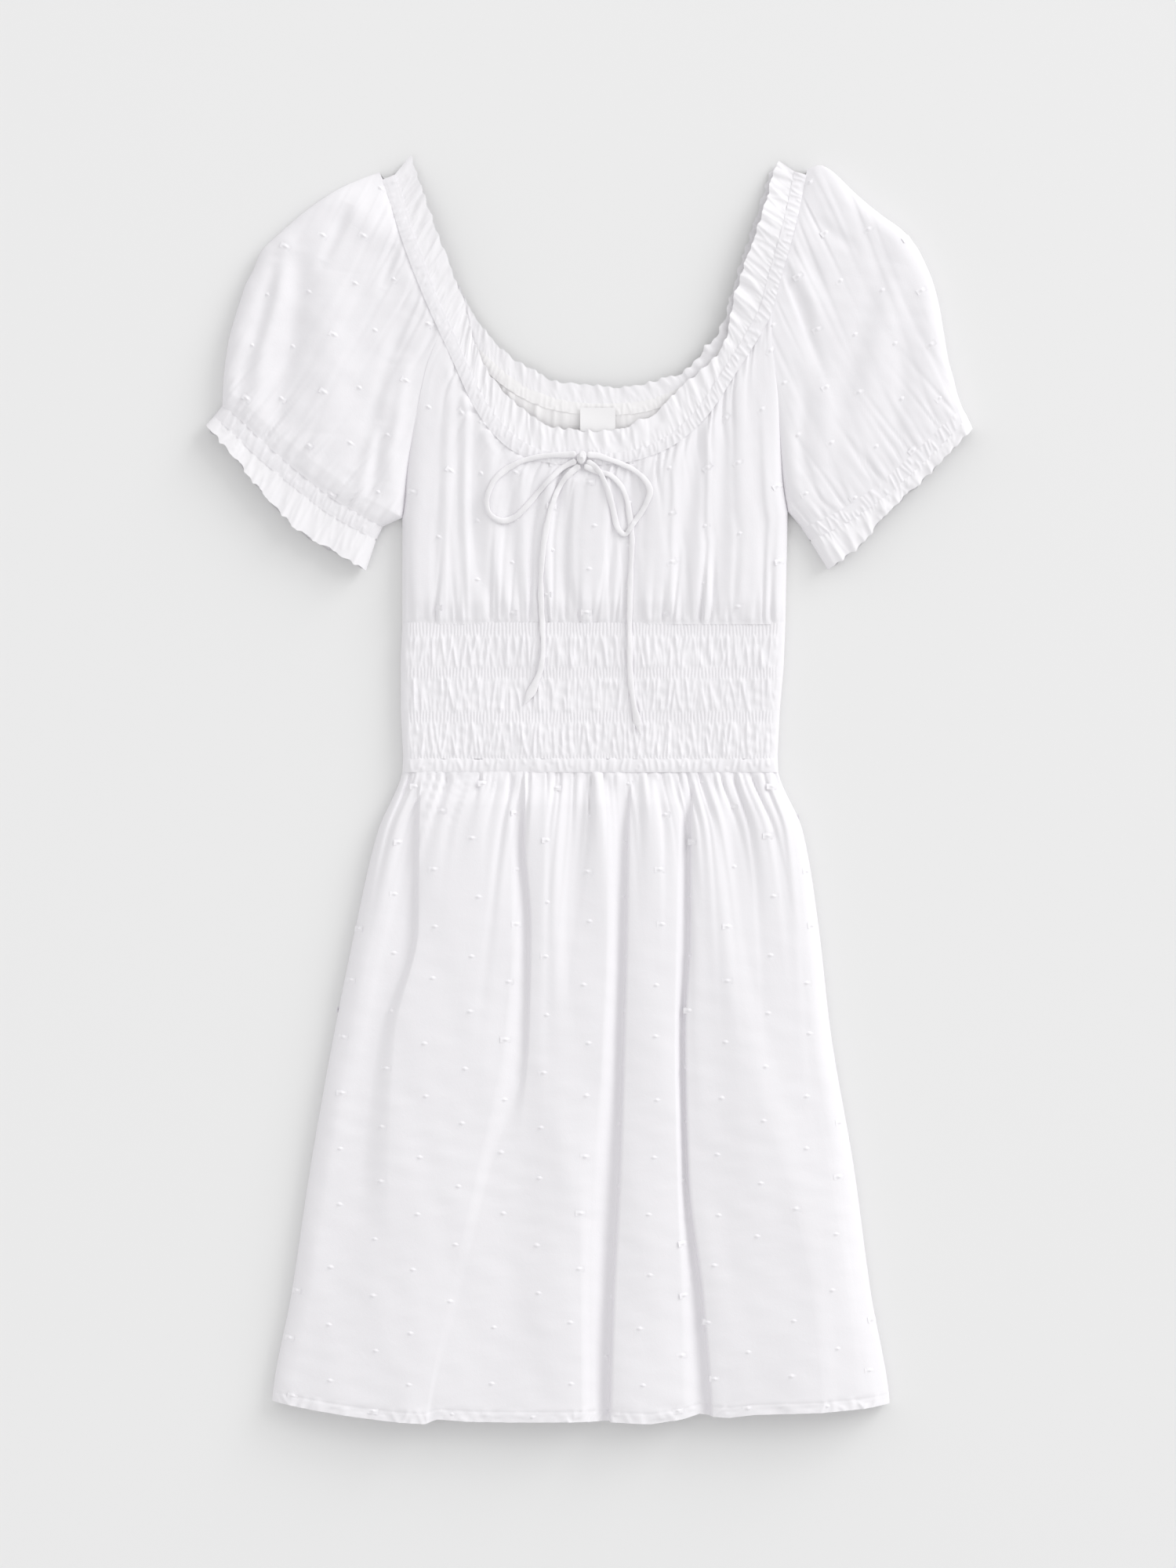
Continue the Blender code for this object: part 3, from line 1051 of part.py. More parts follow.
left_front, left_back = sleeve("left", SLEEVE_LEFT_FOLD, CUFF_LEFT_SEAM, SLEEVE_LEFT_FOLDS, False)
right_front, right_back = sleeve("right", SLEEVE_RIGHT_FOLD, CUFF_RIGHT_SEAM, SLEEVE_RIGHT_FOLDS, True)
cuff("left", CUFF_LEFT_SEAM, CUFF_LEFT_CASING, CUFF_LEFT_EDGE, 1.0)
cuff("right", CUFF_RIGHT_SEAM, CUFF_RIGHT_CASING, CUFF_RIGHT_EDGE, -1.0)


def path_fractions(spots):
    """Fraction of the way along a row of points at each of them."""
    gaps = np.linalg.norm(np.diff(spots, axis=0), axis=1)
    length = np.concatenate([[0.0], np.cumsum(gaps)])
    return length / length[-1]


def ribbon(name, lines, heights, thick, up, look):
    """Strip of cloth along shared points: one row of the grid per line."""
    top_side = np.stack([np.concatenate([line, z[:, None]], axis=1) for line, z in zip(lines, heights)])
    low_side = top_side.copy()
    low_side[..., 2] -= up * thick
    return wall(name, top_side, low_side, look)


# Neck casing and frill, front.
seam_points = np.vstack([left_front, front_crown, right_front[::-1]])
fractions = path_fractions(seam_points)
base_points = along(NECK_FRILL_BASE, fractions)
edge_points = along(NECK_FRILL_EDGE, fractions)
count = len(seam_points)
lift = neck_height(fractions)
ends = ease(np.minimum(fractions, 1.0 - fractions) / 0.06)
pucker = np.where(np.arange(count) % 2 == 0, 0.35, 0.0) * ends
ribbon("neck_casing_front",
       [shifted(seam_points, HALF_GAP), shifted(base_points, -HALF_GAP)],
       [lift + pucker, lift + pucker], CASING_CLOTH, 1.0, band)
wave = np.cos(np.arange(count) * np.pi / 2.0) * ends
middle = 0.5 * (base_points + edge_points)
ribbon("neck_frill_front",
       [shifted(base_points, HALF_GAP), middle, edge_points],
       [lift - 0.3, lift + 0.5 * FRILL_WAVE * wave - 0.6 * ends, lift + FRILL_WAVE * wave - 0.8 * ends],
       FRILL_CLOTH, 1.0, frill)

# Neck casing and frill, back: flat on the surface, the frill's edge slightly waved.
seam_points = np.vstack([left_back, back_crown[1:-1], right_back[::-1]])
fractions = path_fractions(seam_points)
base_points = along(BACK_FRILL_BASE, fractions)
edge_points = along(BACK_FRILL_EDGE, fractions)
count = len(seam_points)
flat = np.zeros(count)
ribbon("neck_casing_back",
       [shifted(seam_points, HALF_GAP), shifted(base_points, -HALF_GAP)],
       [flat, flat], CASING_CLOTH, -1.0, band)
visible = ease((fractions - 0.24) / 0.08) * ease((0.78 - fractions) / 0.08)
wave = (0.5 + 0.5 * np.cos(np.arange(count) * np.pi)) * visible
middle = 0.5 * (base_points + edge_points)
ribbon("neck_frill_back",
       [shifted(base_points, HALF_GAP), middle, edge_points],
       [flat, 0.8 * wave, 1.8 * wave], FRILL_CLOTH, -1.0, frill)

# Label: bare, sewn under the back neck casing.
x0, x1, y0, y1 = LABEL_BOX
label_plan = np.array([[(x0, y0), (x1, y0)], [(x0, y1), (x1, y1)]], float)
label_top = np.full((2, 2, 1), CASING_CLOTH + GAP + LABEL_THICK)
label_outer = np.concatenate([label_plan, label_top], axis=-1)
label_inner = label_outer - np.array([0.0, 0.0, LABEL_THICK])
wall("neck_label", label_outer, label_inner, tag)


# The tie: laid on the cloth, so its height is read from the pieces under it.
def cloth_tree():
    """Search tree over every piece built so far but the knot, in mm."""
    points, polygons = [], []
    bpy.context.view_layer.update()
    graph = bpy.context.evaluated_depsgraph_get()
    for piece in dress.objects:
        if piece.name == "tie_knot":
            continue
        start = len(points)
        mesh = piece.evaluated_get(graph).to_mesh()
        points += [tuple(v.co / MM) for v in mesh.vertices]
        polygons += [tuple(start + i for i in p.vertices) for p in mesh.polygons]
    return BVHTree.FromPolygons(points, polygons)


def top_under(tree, x, y, reach):
    """Highest cloth within a small distance of a plan point."""
    best = 0.0
    for turn in np.arange(0.0, 2.0 * np.pi, np.pi / 4.0):
        for part in (0.0, 0.5, 1.0):
            spot = (x + reach * part * np.cos(turn), y + reach * part * np.sin(turn), 60.0)
            hit = tree.ray_cast(Vector(spot), Vector((0.0, 0.0, -1.0)))
            if hit[0] is not None:
                best = max(best, hit[0].z)
    return best


def tie_piece(name, tree, route, radius, starts_at, ends_at, steps):
    """A length of the tie as a round tube along a smooth route over the cloth."""
    plan_line = along(route, np.linspace(0.0, 1.0, steps))
    under = np.array([top_under(tree, x, y, radius + TIE_CLEAR) for x, y in plan_line])
    z = under + radius + GAP + TIE_LIFT
    for again in range(2):
        z[1:-1] = np.maximum(z[1:-1], 0.5 * (z[:-2] + z[2:]) - TIE_SAG)
    if starts_at is not None:
        z[0] = starts_at
    if ends_at is not None:
        z[-1] = ends_at
    line = bpy.data.curves.new(name, "CURVE")
    line.dimensions = "3D"
    line.fill_mode = "FULL"
    line.bevel_depth = radius * MM
    line.bevel_resolution = 2
    line.use_fill_caps = True
    spline = line.splines.new("POLY")
    spline.points.add(steps - 1)
    for point, (x, y), level in zip(spline.points, plan_line, z):
        point.co = (x * MM, y * MM, level * MM, 1.0)
    solid = bpy.data.objects.new(name, line)
    solid.data.materials.append(cord)
    dress.objects.link(solid)
    route_3d = np.column_stack([plan_line, z])
    length = np.linalg.norm(np.diff(route_3d, axis=0), axis=1).sum()
    print(name, "length", round(float(length), 1), "mm")
    return route_3d


def knot(tree, spot, size):
    """The bow's knot: a small rounded ball of tie, resting on the casing."""
    rings, around = 7, 12
    points = []
    base = top_under(tree, spot[0], spot[1], max(size[0], size[1]))
    centre = np.array([spot[0], spot[1], base + GAP + size[2]])
    for i in range(1, rings):
        lean = np.pi * i / rings
        for k in range(around):
            spin = 2.0 * np.pi * k / around
            points.append(centre + np.array(size) * (np.sin(lean) * np.cos(spin),
                                                     np.sin(lean) * np.sin(spin), np.cos(lean)))
    points.append(centre + np.array([0.0, 0.0, size[2]]))
    points.append(centre - np.array([0.0, 0.0, size[2]]))
    top_point, low_point = len(points) - 2, len(points) - 1
    faces = []
    for i in range(rings - 2):
        for k in range(around):
            j = (k + 1) % around
            faces.append((i * around + k, (i + 1) * around + k, (i + 1) * around + j, i * around + j))
    for k in range(around):
        j = (k + 1) % around
        faces.append((top_point, k, j))
        faces.append((low_point, (rings - 2) * around + j, (rings - 2) * around + k))
    add_mesh("tie_knot", points, faces, cord)
    return centre


tree = cloth_tree()
knot_centre = knot(tree, TIE_KNOT, KNOT_SIZE)
tail_start = knot_centre[2] - TAIL_DROP
tie_piece("tie_tail_left", tree, TIE_TAIL_LEFT, TIE_RADIUS, tail_start, None, steps=20)
tie_piece("tie_tail_right", tree, TIE_TAIL_RIGHT, TIE_RADIUS, tail_start, None, steps=22)
tree = cloth_tree()
loop_end = knot_centre[2] + LOOP_RISE
tie_piece("tie_loop_left", tree, TIE_LOOP_LEFT, TIE_RADIUS, loop_end, loop_end, steps=20)
tie_piece("tie_loop_right", tree, TIE_LOOP_RIGHT, TIE_RADIUS, loop_end, loop_end, steps=18)
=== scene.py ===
# %% [markdown]
# # A white mini dress laid flat
# The dress lies on its back on a pale surface and is seen from straight above.
# Every panel is thin white cotton with small clipped dots, and almost everything that
# the eye reads is folds: gathers at the seams, smocking at the waist, ruffles at the edges.
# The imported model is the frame. Each cloth panel here is a finer surface on the same
# outline and the same heights, and it replaces the plain solid of that name.
# Flat panels could also be draped by a cloth simulation. Folds that are written down as
# lines were chosen, because they then lie where they lie on this dress, on every run.
# Lengths in this file are in millimetres, unless a comment says metres.

import bpy
import numpy as np
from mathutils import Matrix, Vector


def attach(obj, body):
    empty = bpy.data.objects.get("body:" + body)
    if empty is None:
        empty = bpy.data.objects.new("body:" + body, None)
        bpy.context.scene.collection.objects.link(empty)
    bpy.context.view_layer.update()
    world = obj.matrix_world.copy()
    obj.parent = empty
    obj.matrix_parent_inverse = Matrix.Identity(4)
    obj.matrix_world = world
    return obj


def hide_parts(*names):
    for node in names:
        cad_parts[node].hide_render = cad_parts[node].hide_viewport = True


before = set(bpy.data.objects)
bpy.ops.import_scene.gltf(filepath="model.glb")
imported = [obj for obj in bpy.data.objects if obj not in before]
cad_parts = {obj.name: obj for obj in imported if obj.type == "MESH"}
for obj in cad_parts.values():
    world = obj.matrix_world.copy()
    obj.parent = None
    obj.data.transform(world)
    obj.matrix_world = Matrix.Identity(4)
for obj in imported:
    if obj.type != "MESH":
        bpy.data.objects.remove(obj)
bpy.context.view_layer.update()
MM = 0.001                     # one millimetre in metres

# %% [markdown]
# ## Camera
# The photo looks straight down with the hem towards the viewer, so the camera hangs over
# the dress with +Y up in the picture. A camera without perspective would give nearly the
# same picture. A long lens at a real height was chosen, because it keeps the outline true
# and still lets the raised edges lean outwards a little, as in the photo.

# %% Camera over the dress
PHOTO_HEIGHT = 2000            # pixels
PHOTO_PIXEL = 0.545            # millimetres on the table per pixel of the photo
CENTRE = (-0.8, 3.0)           # the picture's middle
CAMERA_HEIGHT = 3.2            # metres
SCALE_HEIGHT = 0.008           # metres above the table at which the scale is true
SENSOR = 36.0                  # millimetres

camera_data = bpy.data.cameras.new("camera_above")
camera_data.sensor_fit = "VERTICAL"
camera_data.sensor_height = SENSOR
camera_data.lens = SENSOR * (CAMERA_HEIGHT - SCALE_HEIGHT) / (PHOTO_HEIGHT * PHOTO_PIXEL * MM)
camera = bpy.data.objects.new("camera_above", camera_data)
camera.location = (CENTRE[0] * MM, CENTRE[1] * MM, CAMERA_HEIGHT)
bpy.context.scene.collection.objects.link(camera)
bpy.context.scene.camera = camera
print("lens", round(camera_data.lens, 1), "mm")

# %% [markdown]
# ## Table and light
# The dress lies on pale paper, and its shadows fall down and to the left and stay soft.
# One sun would draw hard shadows, and an even room light alone would flatten the folds.
# So two large soft lamps stand at the upper right, one of them low, to graze the folds.
# A weak lamp overhead and an even room light fill what they leave dark.

# %% Table and light
TABLE_HALF = 6.0               # half the table's side, metres
TABLE_GAP = 0.0006             # metres between table and cloth, so that no two faces share a plane
ROOM_LIGHT = 0.752


def node_material(name, base, roughness):
    """A new material and its Principled shader."""
    made = bpy.data.materials.new(name)
    made.use_nodes = True
    shader = made.node_tree.nodes["Principled BSDF"]
    shader.inputs["Base Color"].default_value = (*base, 1.0)
    shader.inputs["Roughness"].default_value = roughness
    return made, shader


table_mesh = bpy.data.meshes.new("table_top")
corners = [(i * TABLE_HALF, j * TABLE_HALF, 0.0) for i, j in ((-1, -1), (1, -1), (1, 1), (-1, 1))]
table_mesh.from_pydata(corners, [], [(0, 1, 2, 3)])
table_top = bpy.data.objects.new("table_top", table_mesh)
table_top.location = (0.0, 0.0, -TABLE_GAP)
table_look = node_material("table_paper", (0.835, 0.835, 0.835), 0.9)[0]
table_mesh.materials.append(table_look)
bpy.context.scene.collection.objects.link(table_top)


def area_light(name, place, size, power):
    """A square soft lamp that looks at the middle of the dress; place and size in metres, power in watts."""
    lamp = bpy.data.lights.new(name, "AREA")
    lamp.shape = "SQUARE"
    lamp.size = size
    lamp.energy = power
    holder = bpy.data.objects.new(name, lamp)
    holder.location = place
    holder.rotation_euler = (-Vector(place)).to_track_quat("-Z", "Y").to_euler()
    bpy.context.scene.collection.objects.link(holder)
    return holder


lamps = [
    area_light("key_light", (7.5, 5.1, 4.5), 5.5, 330.0),
    area_light("low_light", (7.5, 9.0, 2.8), 4.5, 330.0),
    area_light("fill_light", (-1.2, -0.6, 3.0), 2.0, 8.0),
]
world = bpy.data.worlds.new("studio")
world.use_nodes = True
world.node_tree.nodes["Background"].inputs["Color"].default_value = (1.0, 1.0, 1.0, 1.0)
world.node_tree.nodes["Background"].inputs["Strength"].default_value = ROOM_LIGHT
bpy.context.scene.world = world
bpy.context.scene.view_settings.view_transform = "Standard"
print("lamps", [(lamp.name, lamp.data.energy) for lamp in lamps])

# %% [markdown]
# ## Smooth paths and smooth curves
# Seams and fold lines are read off the picture as a few points each. A path through such
# points could be a chain of straight pieces, or one of Blender's curve objects. Here it is
# worked out, because the same points then give the path, its length and its heights at once.
# Heights run between the fold lines on a curve that never overshoots, so a narrow valley
# doesn't throw up a false ridge beside it.

# %% Paths, smooth steps and smooth curves
def ease(t):
    """Smooth step: 3t^2 - 2t^3 between 0 and 1."""
    t = np.clip(t, 0.0, 1.0)
    return t * t * (3.0 - 2.0 * t)


def curve(points, steps=10):
    """Catmull-Rom path: each stretch is the cubic that passes its ends with their neighbours' slope."""
    p = np.array(points, float)
    p = np.vstack([2 * p[0] - p[1], p, 2 * p[-1] - p[-2]])
    t = np.arange(steps)[:, None] / steps
    a, b, c, d = p[:-3, None], p[1:-2, None], p[2:-1, None], p[3:, None]
    squared = 2 * a - 5 * b + 4 * c - d
    cubed = 3 * b - a - 3 * c + d
    dense = 0.5 * (2 * b + (c - a) * t + squared * t ** 2 + cubed * t ** 3)
    return np.vstack([dense.reshape(-1, p.shape[1]), p[-2]])


def arc(path):
    """Distance travelled along a path at each of its points."""
    return np.concatenate([[0.0], np.cumsum(np.linalg.norm(np.diff(path, axis=0), axis=1))])


def along(points, shares):
    """Points at given shares of a smooth path's length."""
    dense = curve(points)
    length = arc(dense)
    wanted = np.asarray(shares, float) * length[-1]
    return np.stack([np.interp(wanted, length, dense[:, k]) for k in range(dense.shape[1])], axis=-1)


def slopes(x, z):
    """Slopes for a smooth curve that never overshoots.

    Each is zero at a peak or a trough, and else the weighted harmonic mean of its two stretches.
    """
    h = np.diff(x, axis=-1)
    s = np.diff(z, axis=-1) / h
    w1 = 2 * h[..., 1:] + h[..., :-1]
    w2 = h[..., 1:] + 2 * h[..., :-1]
    same = s[..., 1:] * s[..., :-1] > 0
    safe = np.where(same, w1 / np.where(same, s[..., :-1], 1.0) + w2 / np.where(same, s[..., 1:], 1.0), 1.0)
    inner = np.where(same, (w1 + w2) / safe, 0.0)
    return np.concatenate([s[..., :1] * 0.5, inner, s[..., -1:] * 0.5], axis=-1)


def between(x, z, part, t):
    """Height at a share t of stretch number part of the curve through (x, z), by Hermite cubics."""
    d = slopes(x, z)
    h = np.diff(x, axis=-1)[..., part]
    z0, z1, d0, d1 = z[..., part], z[..., part + 1], d[..., part], d[..., part + 1]
    value = z0 * (2 * t ** 3 - 3 * t ** 2 + 1) + h * d0 * (t ** 3 - 2 * t ** 2 + t)
    return value + z1 * (3 * t ** 2 - 2 * t ** 3) + h * d1 * (t ** 3 - t ** 2)


quarter_turn = curve([(1, 0), (0.7, 0.7), (0, 1)])
print("a quarter turn through 3 points is", round(float(arc(quarter_turn)[-1]), 3), "long")

# %% [markdown]
# ## Gathers, pleats and soft unevenness
# Where cloth is drawn up on a thread it stands in small folds that differ in place, width,
# height and length, and between them run narrow valleys. A plain sine wave would look like
# corrugated card. So each small fold is a bump of its own with seeded random measures, and
# a gathered seam is the sum of many such bumps. Worn cloth is never quite flat between its
# folds either, and a few gentle waves in different directions give that.

# %% Gathers, grooves, pleats and unevenness
def one_sided(offset, wide, skew):
    """Bump exp(-(offset / width)^2) whose width is wide * skew on one side and wide / skew on the other."""
    return np.exp(-(offset / np.where(offset > 0.0, wide * skew, wide / skew)) ** 2)


def gathers(place, distance, pitch, height, reach, seed, spread=1.0, broad_share=1.0):
    """Sum of narrow bumps side by side along a seam, each fading away from it and bending a little.

    place is the distance along the seam and distance the distance from it.
    """
    chance = np.random.default_rng(seed)
    distance = np.maximum(distance, 0.0)
    low, high = float(place.min()), float(place.max())
    count = max(3, int(round((high - low) / pitch)))
    centres = low + (np.arange(count) + 0.5 + chance.uniform(-0.38, 0.38, count)) * (high - low) / count
    tall = height * chance.uniform(0.25, 1.0, count)
    far = reach * chance.uniform(0.3, 1.35, count)
    wide = broad_share * pitch * chance.uniform(0.22, 0.42, count)
    skew = chance.uniform(0.62, 1.6, count)
    bend = pitch * chance.uniform(-0.5, 0.5, count)
    total = np.zeros(np.broadcast(place, distance).shape)
    for c, h, l, w, k, b in zip(centres, tall, far, wide, skew, bend):
        broad = w * (1.0 + spread * distance / reach)
        total += h * one_sided(place - c - b * distance / reach, broad, k) * np.exp(-(distance / l) ** 1.6)
    return total - 0.33 * height * np.exp(-(distance / reach) ** 1.6)


def grooves(place, distance, pitch, depth, reach, seed, spread=0.6):
    """Narrow valleys between the gathers: the same sum as gathers, under half as wide and turned over."""
    return -gathers(place, distance, pitch, depth, reach, seed, spread, 0.42)


def drawn_up(place, distance, rows):
    """Sum of the rows' gathers and grooves, each times first + (1 - first) ease(distance / start)."""
    total = 0.0
    for kind, pitch, height, reach, seed, spread, start, first in rows:
        strength = first + (1.0 - first) * ease(distance / start)
        total = total + kind(place, distance, pitch, height, reach, seed, spread) * strength
    return total


def pleats(place, out, pitch, seed, lean=0.5, whole=0.5, skewed=1.3):
    """Sum of soft ridges side by side across a band, unequal in place, width and height.

    place is the distance along the band and out goes from 0 to 1 across it. A share whole of
    the ridges crosses the band, and the rest end part of the way, from one side or the other.
    """
    chance = np.random.default_rng(seed)
    low, high = float(place.min()), float(place.max())
    count = max(3, int(round((high - low) / pitch)))
    centres = low + (np.arange(count) + 0.5 + chance.uniform(-0.33, 0.33, count)) * (high - low) / count
    total = np.zeros(np.broadcast(place, out).shape)
    for c in centres:
        size, wide = chance.uniform(0.55, 1.0), pitch * chance.uniform(0.26, 0.40)
        slope, swing, turn = chance.uniform(-lean, lean), chance.uniform(0.0, 0.25), chance.uniform(0.0, 6.28)
        kind, end = chance.uniform(), chance.uniform(0.3, 0.85)
        middle = c + pitch * (slope * (out - 0.5) + swing * np.sin(3.0 * out + turn))
        ridge = size * one_sided(place - middle, wide, skewed if turn < 4.2 else 1.0 / skewed)
        if kind > whole:
            away = out if turn < 3.1 else 1.0 - out
            ridge = ridge * (1.0 - ease((away - end + 0.2) / 0.3))
        total += ridge
    return total


def unevenness(x, y, size, height, seed):
    """Sum of eight gentle waves in different directions, as in cloth that was worn and folded."""
    chance = np.random.default_rng(seed)
    turns = chance.uniform(0, np.pi, 8)
    scales = chance.uniform(0.6, 1.8, 8)
    phases = chance.uniform(0, 6.28, 8)
    total = np.zeros(np.broadcast(x, y).shape)
    for turn, scale, phase in zip(turns, scales, phases):
        total += np.sin((x * np.cos(turn) + y * np.sin(turn)) * 6.283 / (size * scale) + phase)
    return total * height / 3.0


sample = gathers(np.linspace(0.0, 100.0, 400), np.zeros(400), 6.0, 2.0, 30.0, 1)
lowest, highest = round(float(sample.min()), 1), round(float(sample.max()), 1)
print("gathers 2 mm high at most run from", lowest, "to", highest)

# %% [markdown]
# ## From a grid of points to a piece of cloth
# Every panel is a grid: rows and columns of points that a formula has placed. The mesh
# could be bent from a flat plane with modifiers, but a grid says outright where each point
# is. The distance travelled over the grid gives a map of the flat cloth, so weave and dots
# keep their spacing on it. A thin wall is added at the rim only, where its thickness shows.
# The border's edges stay sharp, so that the light doesn't roll off at a seam.

# %% From a grid of points to a mesh
pieces = {}
grids = {}


def cloth_map(grid):
    """Flat-cloth coordinates: distance travelled across each row, and down the rows on average."""
    across = np.zeros(grid.shape[:2])
    across[:, 1:] = np.cumsum(np.linalg.norm(np.diff(grid, axis=1), axis=-1), axis=1)
    across -= across[:, grid.shape[1] // 2][:, None]
    down = np.zeros(grid.shape[:2])
    down[1:] = np.cumsum(np.linalg.norm(np.diff(grid, axis=0), axis=-1), axis=0)
    return np.stack([across, np.broadcast_to(down.mean(axis=1)[:, None], down.shape)], axis=-1)


def grid_quads(rows, columns):
    """Corner numbers of the quads between the points of a grid."""
    index = np.arange(rows * columns).reshape(rows, columns)
    return np.stack([index[:-1, :-1], index[:-1, 1:], index[1:, 1:], index[1:, :-1]], axis=-1).reshape(-1, 4)


def grid_area(grid):
    """Area of a grid: the sum of the cross products of its cells' sides."""
    down = grid[1:, :-1] - grid[:-1, :-1]
    across = grid[:-1, 1:] - grid[:-1, :-1]
    return np.linalg.norm(np.cross(down, across), axis=-1).sum()


def border_edges(mesh, rows, columns):
    """True for the edges whose two ends both lie on the same side of the grid."""
    ends = np.empty(2 * len(mesh.edges), np.int32)
    mesh.edges.foreach_get("vertices", ends)
    row, column = np.divmod(ends.reshape(-1, 2), columns)
    border = np.zeros(len(mesh.edges), bool)
    for place, last in ((row, rows - 1), (column, columns - 1)):
        border |= (place[:, 0] == place[:, 1]) & np.isin(place[:, 0], (0, last))
    return border


def hand_over(piece, node):
    """Put a finished piece in the scene: it rides the one body and stands for its plain solid."""
    bpy.context.scene.collection.objects.link(piece)
    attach(piece, "root")
    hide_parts(node)
    pieces[piece.name] = piece


def cloth_piece(node, grid, look, thick=0.5, up=True, probe=0.5, rim=True, ending="_cloth"):
    """Grid of points to a smooth mesh with a flat-cloth map and a thin wall.

    up says whether the piece faces up at the share probe of its width, in its middle row.
    """
    name = node + ending
    rows, columns = grid.shape[:2]
    quads = grid_quads(rows, columns)
    r, k = rows // 2, int(columns * probe)
    a, b, c = grid[r, k], grid[r, k + 1], grid[r + 1, k]
    if (np.cross(b - a, c - a)[2] > 0) != up:
        quads = quads[:, ::-1]
    mesh = bpy.data.meshes.new(name)
    mesh.vertices.add(rows * columns)
    mesh.vertices.foreach_set("co", (grid * MM).astype(np.float32).ravel())
    mesh.loops.add(quads.size)
    mesh.loops.foreach_set("vertex_index", quads.astype(np.int32).ravel())
    mesh.polygons.add(len(quads))
    mesh.polygons.foreach_set("loop_start", np.arange(0, quads.size, 4, dtype=np.int32))
    mesh.update(calc_edges=True)
    mesh.polygons.foreach_set("use_smooth", np.ones(len(quads), bool))
    mesh.edges.foreach_set("use_edge_sharp", border_edges(mesh, rows, columns))
    flat = cloth_map(grid).reshape(-1, 2) * MM
    layer = mesh.uv_layers.new(name="cloth")
    layer.data.foreach_set("uv", flat[quads.ravel()].astype(np.float32).ravel())
    mesh.materials.append(look)
    piece = bpy.data.objects.new(name, mesh)
    wall = piece.modifiers.new("wall", "SOLIDIFY")
    wall.thickness = thick * MM
    wall.offset = -1.0
    wall.use_rim_only = rim
    hand_over(piece, node)
    grids[name] = grid
    print(name, "points", rows * columns, "area m2", round(grid_area(grid) * 1e-6, 4))
    return piece


# %% [markdown]
# ## Cotton
# The cloth is a thin matt cotton, a little crumpled from wear. A photo of cloth could be
# wrapped over the panels, but it would stretch at the gathers. So the weave, the slubs and
# the crumpling are worked out from the flat-cloth map and follow every fold. The weave is
# only a relief in the light: the cloth is one white, with clouds that are hardly seen.
# Only the inside of the neck and the ruffles are painted a little lighter: painted light that lifts their
# shade.

# %% Cotton and satin
THREAD = 0.00062               # spacing of the woven threads, metres
WHITE = (0.870, 0.856, 0.882)


def link_math(tree, operation, *inputs):
    """A Math node fed by sockets or numbers; returns its output."""
    node = tree.nodes.new("ShaderNodeMath")
    node.operation = operation
    for i, value in enumerate(inputs):
        if isinstance(value, (int, float)):
            node.inputs[i].default_value = value
        else:
            tree.links.new(value, node.inputs[i])
    return node.outputs[0]


def noise(tree, place, scale, detail, distortion=0.0):
    """Cloudy noise between 0 and 1 on the flat cloth, scale clouds to a metre."""
    node = tree.nodes.new("ShaderNodeTexNoise")
    node.inputs["Scale"].default_value = scale
    node.inputs["Detail"].default_value = detail
    node.inputs["Distortion"].default_value = distortion
    tree.links.new(place, node.inputs["Vector"])
    return node.outputs[0]


def cotton(name, base, weave=0.12):
    """Matt cotton. Its relief, in tenths of a mm: weave (sin u + sin v) + 0.9 slubs + 3.2 crumpling."""
    made, shader = node_material(name, base, 0.88)
    tree = made.node_tree
    flat = tree.nodes.new("ShaderNodeUVMap")
    flat.uv_map = "cloth"
    parts = tree.nodes.new("ShaderNodeSeparateXYZ")
    tree.links.new(flat.outputs[0], parts.inputs[0])
    threads = [link_math(tree, "SINE", link_math(tree, "MULTIPLY", parts.outputs[k], 2 * np.pi / THREAD))
               for k in (0, 1)]
    height = link_math(tree, "MULTIPLY", link_math(tree, "ADD", *threads), weave)
    slubs = noise(tree, flat.outputs[0], 900.0, 2.0)
    height = link_math(tree, "ADD", height, link_math(tree, "MULTIPLY", slubs, 0.9))
    crumple = noise(tree, flat.outputs[0], 95.0, 4.0, 0.6)
    height = link_math(tree, "ADD", height, link_math(tree, "MULTIPLY", crumple, 3.2))
    tint = tree.nodes.new("ShaderNodeMix")
    tint.data_type = "RGBA"
    tint.inputs["A"].default_value = (*[c * 0.975 for c in base], 1.0)
    tint.inputs["B"].default_value = (*base, 1.0)
    tree.links.new(noise(tree, flat.outputs[0], 14.0, 3.0), tint.inputs["Factor"])
    tree.links.new(tint.outputs["Result"], shader.inputs["Base Color"])
    bump = tree.nodes.new("ShaderNodeBump")
    bump.inputs["Strength"].default_value = 0.5
    bump.inputs["Distance"].default_value = 0.0001
    tree.links.new(height, bump.inputs["Height"])
    tree.links.new(bump.outputs[0], shader.inputs["Normal"])
    shader.inputs["Sheen Weight"].default_value = 0.12
    shader.inputs["Sheen Roughness"].default_value = 0.6
    return made


dotted = cotton("dotted_cotton", WHITE)
# A lighter copy of the cotton for the inside of the back and the back neck casing: painted light, standing in
# for light through the thin cloth that lifts the shade inside the neck.
inside_cotton_painted_light = cotton("cotton_inside_painted_light", (0.905, 0.892, 0.897))
plain_cotton = cotton("plain_cotton", WHITE, weave=0.08)
# A lighter copy of the cotton for the ruffles: painted light that lifts their shade, most of all on the back
# ruffle under the front one.
frill_cotton_painted_light = cotton("frill_cotton_painted_light", (0.895, 0.882, 0.905), weave=0.1)
tie_cotton = cotton("tie_cotton", (0.865, 0.852, 0.872), weave=0.08)
tuft_cotton = node_material("tuft_cotton", (0.88, 0.866, 0.892), 0.9)[0]
satin, satin_shader = node_material("label_satin", (0.90, 0.89, 0.90), 0.42)
satin_shader.inputs["Sheen Weight"].default_value = 0.2
print("materials", [m.name for m in bpy.data.materials])

